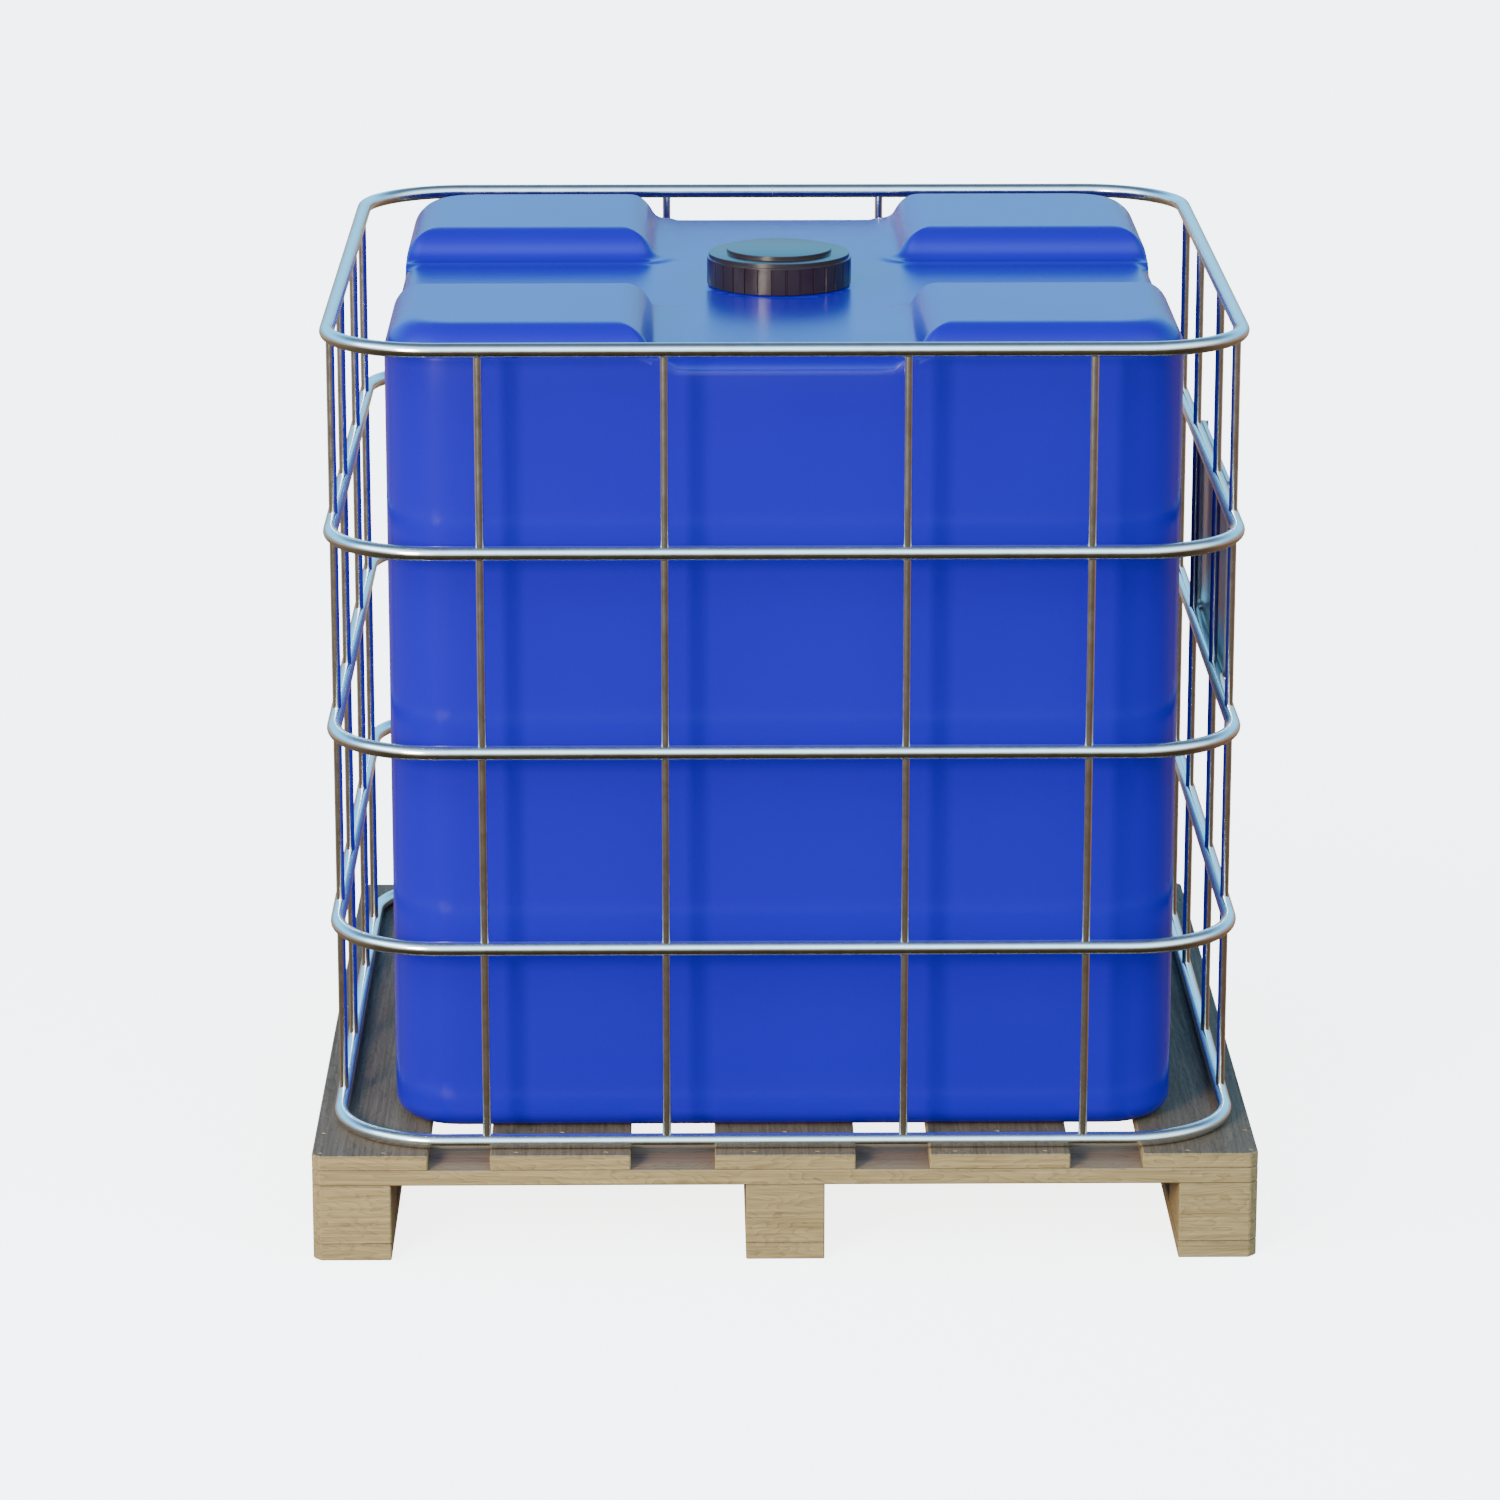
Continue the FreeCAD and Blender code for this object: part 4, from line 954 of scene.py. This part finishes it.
def dress_metal_and_plastic():
    """Materials of the CAD nodes that keep their shape, then the detailed pieces."""
    tube = steel("galvanised_tube", (0.80, 0.80, 0.78), 0.19, 0.04)
    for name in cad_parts:
        if name.startswith("hoop_") or "_bar_" in name:
            dress(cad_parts[name], tube)
    # Nail heads: steel tinted dark blue, a painted reflection of the sky.
    nail = steel("nail_steel", (0.06, 0.10, 0.20), 0.50)
    screw = steel("zinc_screws", (0.70, 0.71, 0.70), 0.30)
    seal = moulded("seal_rubber", (0.018, 0.018, 0.018), 0.7)
    black = moulded("black_polyethylene", (0.015, 0.004, 0.004), 0.24, specular=0.45)
    valve = moulded("valve_plastic", (0.020, 0.020, 0.022), 0.38)
    plain = {
        "deck_nails": nail,
        "bottom_nails": nail,
        "seam_welds": steel("weld_metal", (0.45, 0.44, 0.43), 0.45, scale=300.0),
        "cage_screws": screw,
        "lever_screw": screw,
        "id_plate": steel("plate_sheet", (0.62, 0.60, 0.57), 0.30, 0.03, 12.0),
        "lid_gasket": seal,
        "valve_gasket": seal,
        "outlet_gasket": seal,
        "valve_stem": valve,
        "valve_seats": moulded("seat_plastic", (0.78, 0.78, 0.76), 0.3),
        "valve_ball": moulded("ball_plastic", (0.05, 0.05, 0.055), 0.18),
    }
    for name, material in plain.items():
        dress(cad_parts[name], material)
    build_lid(black)
    build_outlet_cap(moulded("cap_plastic", (0.014, 0.013, 0.014), 0.36))
    for build_piece in (build_union_nut, build_valve_body, build_valve_tail):
        build_piece(valve)
    build_lever(moulded("lever_plastic", (0.45, 0.02, 0.015), 0.35))


# ------------------------------------------------------------------ stage

CAMERA_PLACE = (-0.121, -7.480, 2.559)
CAMERA_PITCH = 15.34
CAMERA_YAW = 0.634
CAMERA_LENS = 138.0
CAMERA_SENSOR = 36.0
CAMERA_REACH = 200.0


def add_camera():
    """The photograph's camera, as fitted to it."""
    data = bpy.data.cameras.new("camera")
    data.lens = CAMERA_LENS
    data.sensor_width = CAMERA_SENSOR
    data.clip_end = CAMERA_REACH
    camera = new_object("camera", data)
    camera.location = CAMERA_PLACE
    camera.rotation_euler = (math.radians(90 - CAMERA_PITCH), 0, math.radians(-CAMERA_YAW))
    bpy.context.scene.camera = camera


FLOOR_SIZE = 60.0
FLOOR_GLOW = 4.5
FLOOR_GLOW_COLOUR = (1.0, 0.99, 0.97, 1)
FLOOR_GREYS = ((0.80, 0.80, 0.80, 1), (0.84, 0.84, 0.84, 1))


def add_floor():
    """A pale backlit sheet, bright to the camera, that lights nothing itself."""
    build = bmesh.new()
    bmesh.ops.create_grid(build, x_segments=1, y_segments=1, size=FLOOR_SIZE)
    floor = finish_mesh("floor", build)
    nodes = Nodes("floor")
    cloud = nodes.noise(nodes.place(), 0.8, 3.0, 0.5)
    tone = nodes.blend(cloud, *FLOOR_GREYS)
    nodes.surface(tone, 0.8, specular=0.0)
    nodes.shader.inputs["Emission Color"].default_value = FLOOR_GLOW_COLOUR
    nodes.shader.inputs["Emission Strength"].default_value = FLOOR_GLOW
    nodes.material.cycles.emission_sampling = "NONE"
    dress(floor, nodes.material)
    floor.visible_glossy = False
    floor.visible_diffuse = False


LIGHT_TARGET = Vector((0, 0, 0.65))
# Name, azimuth left of the front, elevation, distance, size, power and colour.
SOFTBOXES = (
    ("key", 28.5, 16, 6.0, (1.25, 1.25), 440, (1.0, 0.88, 0.72)),
    ("side", 60, 26, 5.0, (3.5, 2.0), 55, (0.90, 0.96, 1.0)),
)


def add_softbox(name, azimuth, elevation, distance, size, power, colour):
    """A softbox that faces the tank; the camera doesn't see it."""
    data = bpy.data.lights.new(name, "AREA")
    data.shape = "RECTANGLE"
    data.size, data.size_y = size
    data.energy = power
    data.color = colour
    lamp = new_object(name, data)
    side = math.radians(azimuth)
    rise = math.radians(elevation)
    away = Vector((-math.sin(side) * math.cos(rise), -math.cos(side) * math.cos(rise),
                   math.sin(rise)))
    lamp.location = LIGHT_TARGET + away * distance
    lamp.rotation_euler = away.to_track_quat("Z", "Y").to_euler()
    lamp.visible_camera = False


SKY_STRENGTH = 5.0
# Elevation in degrees and colour.
FRONT_SKY = (
    (-90, (0.035, 0.025, 0.012)),
    (-40, (0.050, 0.040, 0.018)),
    (-15, (0.135, 0.088, 0.046)),
    (-6, (0.210, 0.180, 0.130)),
    (-1, (0.400, 0.480, 0.500)),
    (4, (0.850, 1.050, 1.050)),
    (13, (1.70, 2.60, 3.10)),
    (22, (1.80, 3.35, 4.20)),
    (38, (1.50, 3.20, 4.70)),
    (50, (1.15, 2.15, 3.15)),
    (62, (0.62, 0.95, 1.40)),
    (75, (0.32, 0.44, 0.66)),
    (90, (0.14, 0.18, 0.26)),
)
BACK_SKY = (
    (-90, (0.035, 0.025, 0.012)),
    (-20, (0.26, 0.19, 0.12)),
    (-7, (0.60, 0.43, 0.36)),
    (-1, (0.52, 0.50, 0.47)),
    (5, (0.40, 0.95, 1.35)),
    (14, (0.37, 1.45, 2.50)),
    (25, (0.34, 1.32, 2.35)),
    (40, (0.16, 0.34, 0.62)),
    (60, (0.12, 0.17, 0.26)),
    (90, (0.14, 0.18, 0.26)),
)
RIGHT_SHADE = (0.92, 0.76, 0.70)
# Where the sky's direction vector turns from front to back, and to the right.
BEHIND_EDGES = (-0.45, 0.35)
RIGHT_EDGES = (0.20, 0.85)


def sky_ramp(tree, height, stops):
    """Sky colour by elevation; stops are (degrees above the horizon, colour)."""
    ramp = tree.nodes.new("ShaderNodeValToRGB")
    tree.links.new(height, ramp.inputs["Fac"])
    band = ramp.color_ramp.elements
    while len(band) < len(stops):
        band.new(0.5)
    for element, (elevation, colour) in zip(band, stops):
        element.position = (math.sin(math.radians(elevation)) + 1) / 2
        element.color = (*(channel / SKY_STRENGTH for channel in colour), 1)
    return ramp.outputs["Color"]


def sky_share(tree, value, low, high):
    """A soft step from 0 to 1 over a part of the sky."""
    step = tree.nodes.new("ShaderNodeMapRange")
    step.interpolation_type = "SMOOTHSTEP"
    step.inputs["From Min"].default_value = low
    step.inputs["From Max"].default_value = high
    tree.links.new(value, step.inputs["Value"])
    return step.outputs["Result"]


def sky_mix(tree, share, first, kind="MIX"):
    """A mix of sky colours; its second colour is left for the caller to set."""
    mix = tree.nodes.new("ShaderNodeMix")
    mix.data_type = "RGBA"
    mix.blend_type = kind
    tree.links.new(share, mix.inputs[0])
    tree.links.new(first, mix.inputs[6])
    return mix


def add_sky():
    """A soft sky: brightest low in front, blue behind, dim and warm to the right."""
    world = bpy.data.worlds.new("sky")
    bpy.context.scene.world = world
    world.use_nodes = True
    tree = world.node_tree
    background = tree.nodes["Background"]
    direction = tree.nodes.new("ShaderNodeTexCoord").outputs["Generated"]
    split = tree.nodes.new("ShaderNodeSeparateXYZ")
    tree.links.new(direction, split.inputs[0])
    height = tree.nodes.new("ShaderNodeMath")
    height.operation = "MULTIPLY_ADD"
    height.inputs[1].default_value = 0.5
    height.inputs[2].default_value = 0.5
    tree.links.new(split.outputs["Z"], height.inputs[0])
    behind = sky_share(tree, split.outputs["Y"], *BEHIND_EDGES)
    whole = sky_mix(tree, behind, sky_ramp(tree, height.outputs[0], FRONT_SKY))
    tree.links.new(sky_ramp(tree, height.outputs[0], BACK_SKY), whole.inputs[7])
    right = sky_share(tree, split.outputs["X"], *RIGHT_EDGES)
    shaded = sky_mix(tree, right, whole.outputs[2], "MULTIPLY")
    shaded.inputs[7].default_value = (*RIGHT_SHADE, 1)
    tree.links.new(shaded.outputs[2], background.inputs["Color"])
    background.inputs["Strength"].default_value = SKY_STRENGTH


build_tank_skin()
dress_pallet()
dress_metal_and_plastic()
add_camera()
add_floor()
add_sky()
for softbox in SOFTBOXES:
    add_softbox(*softbox)
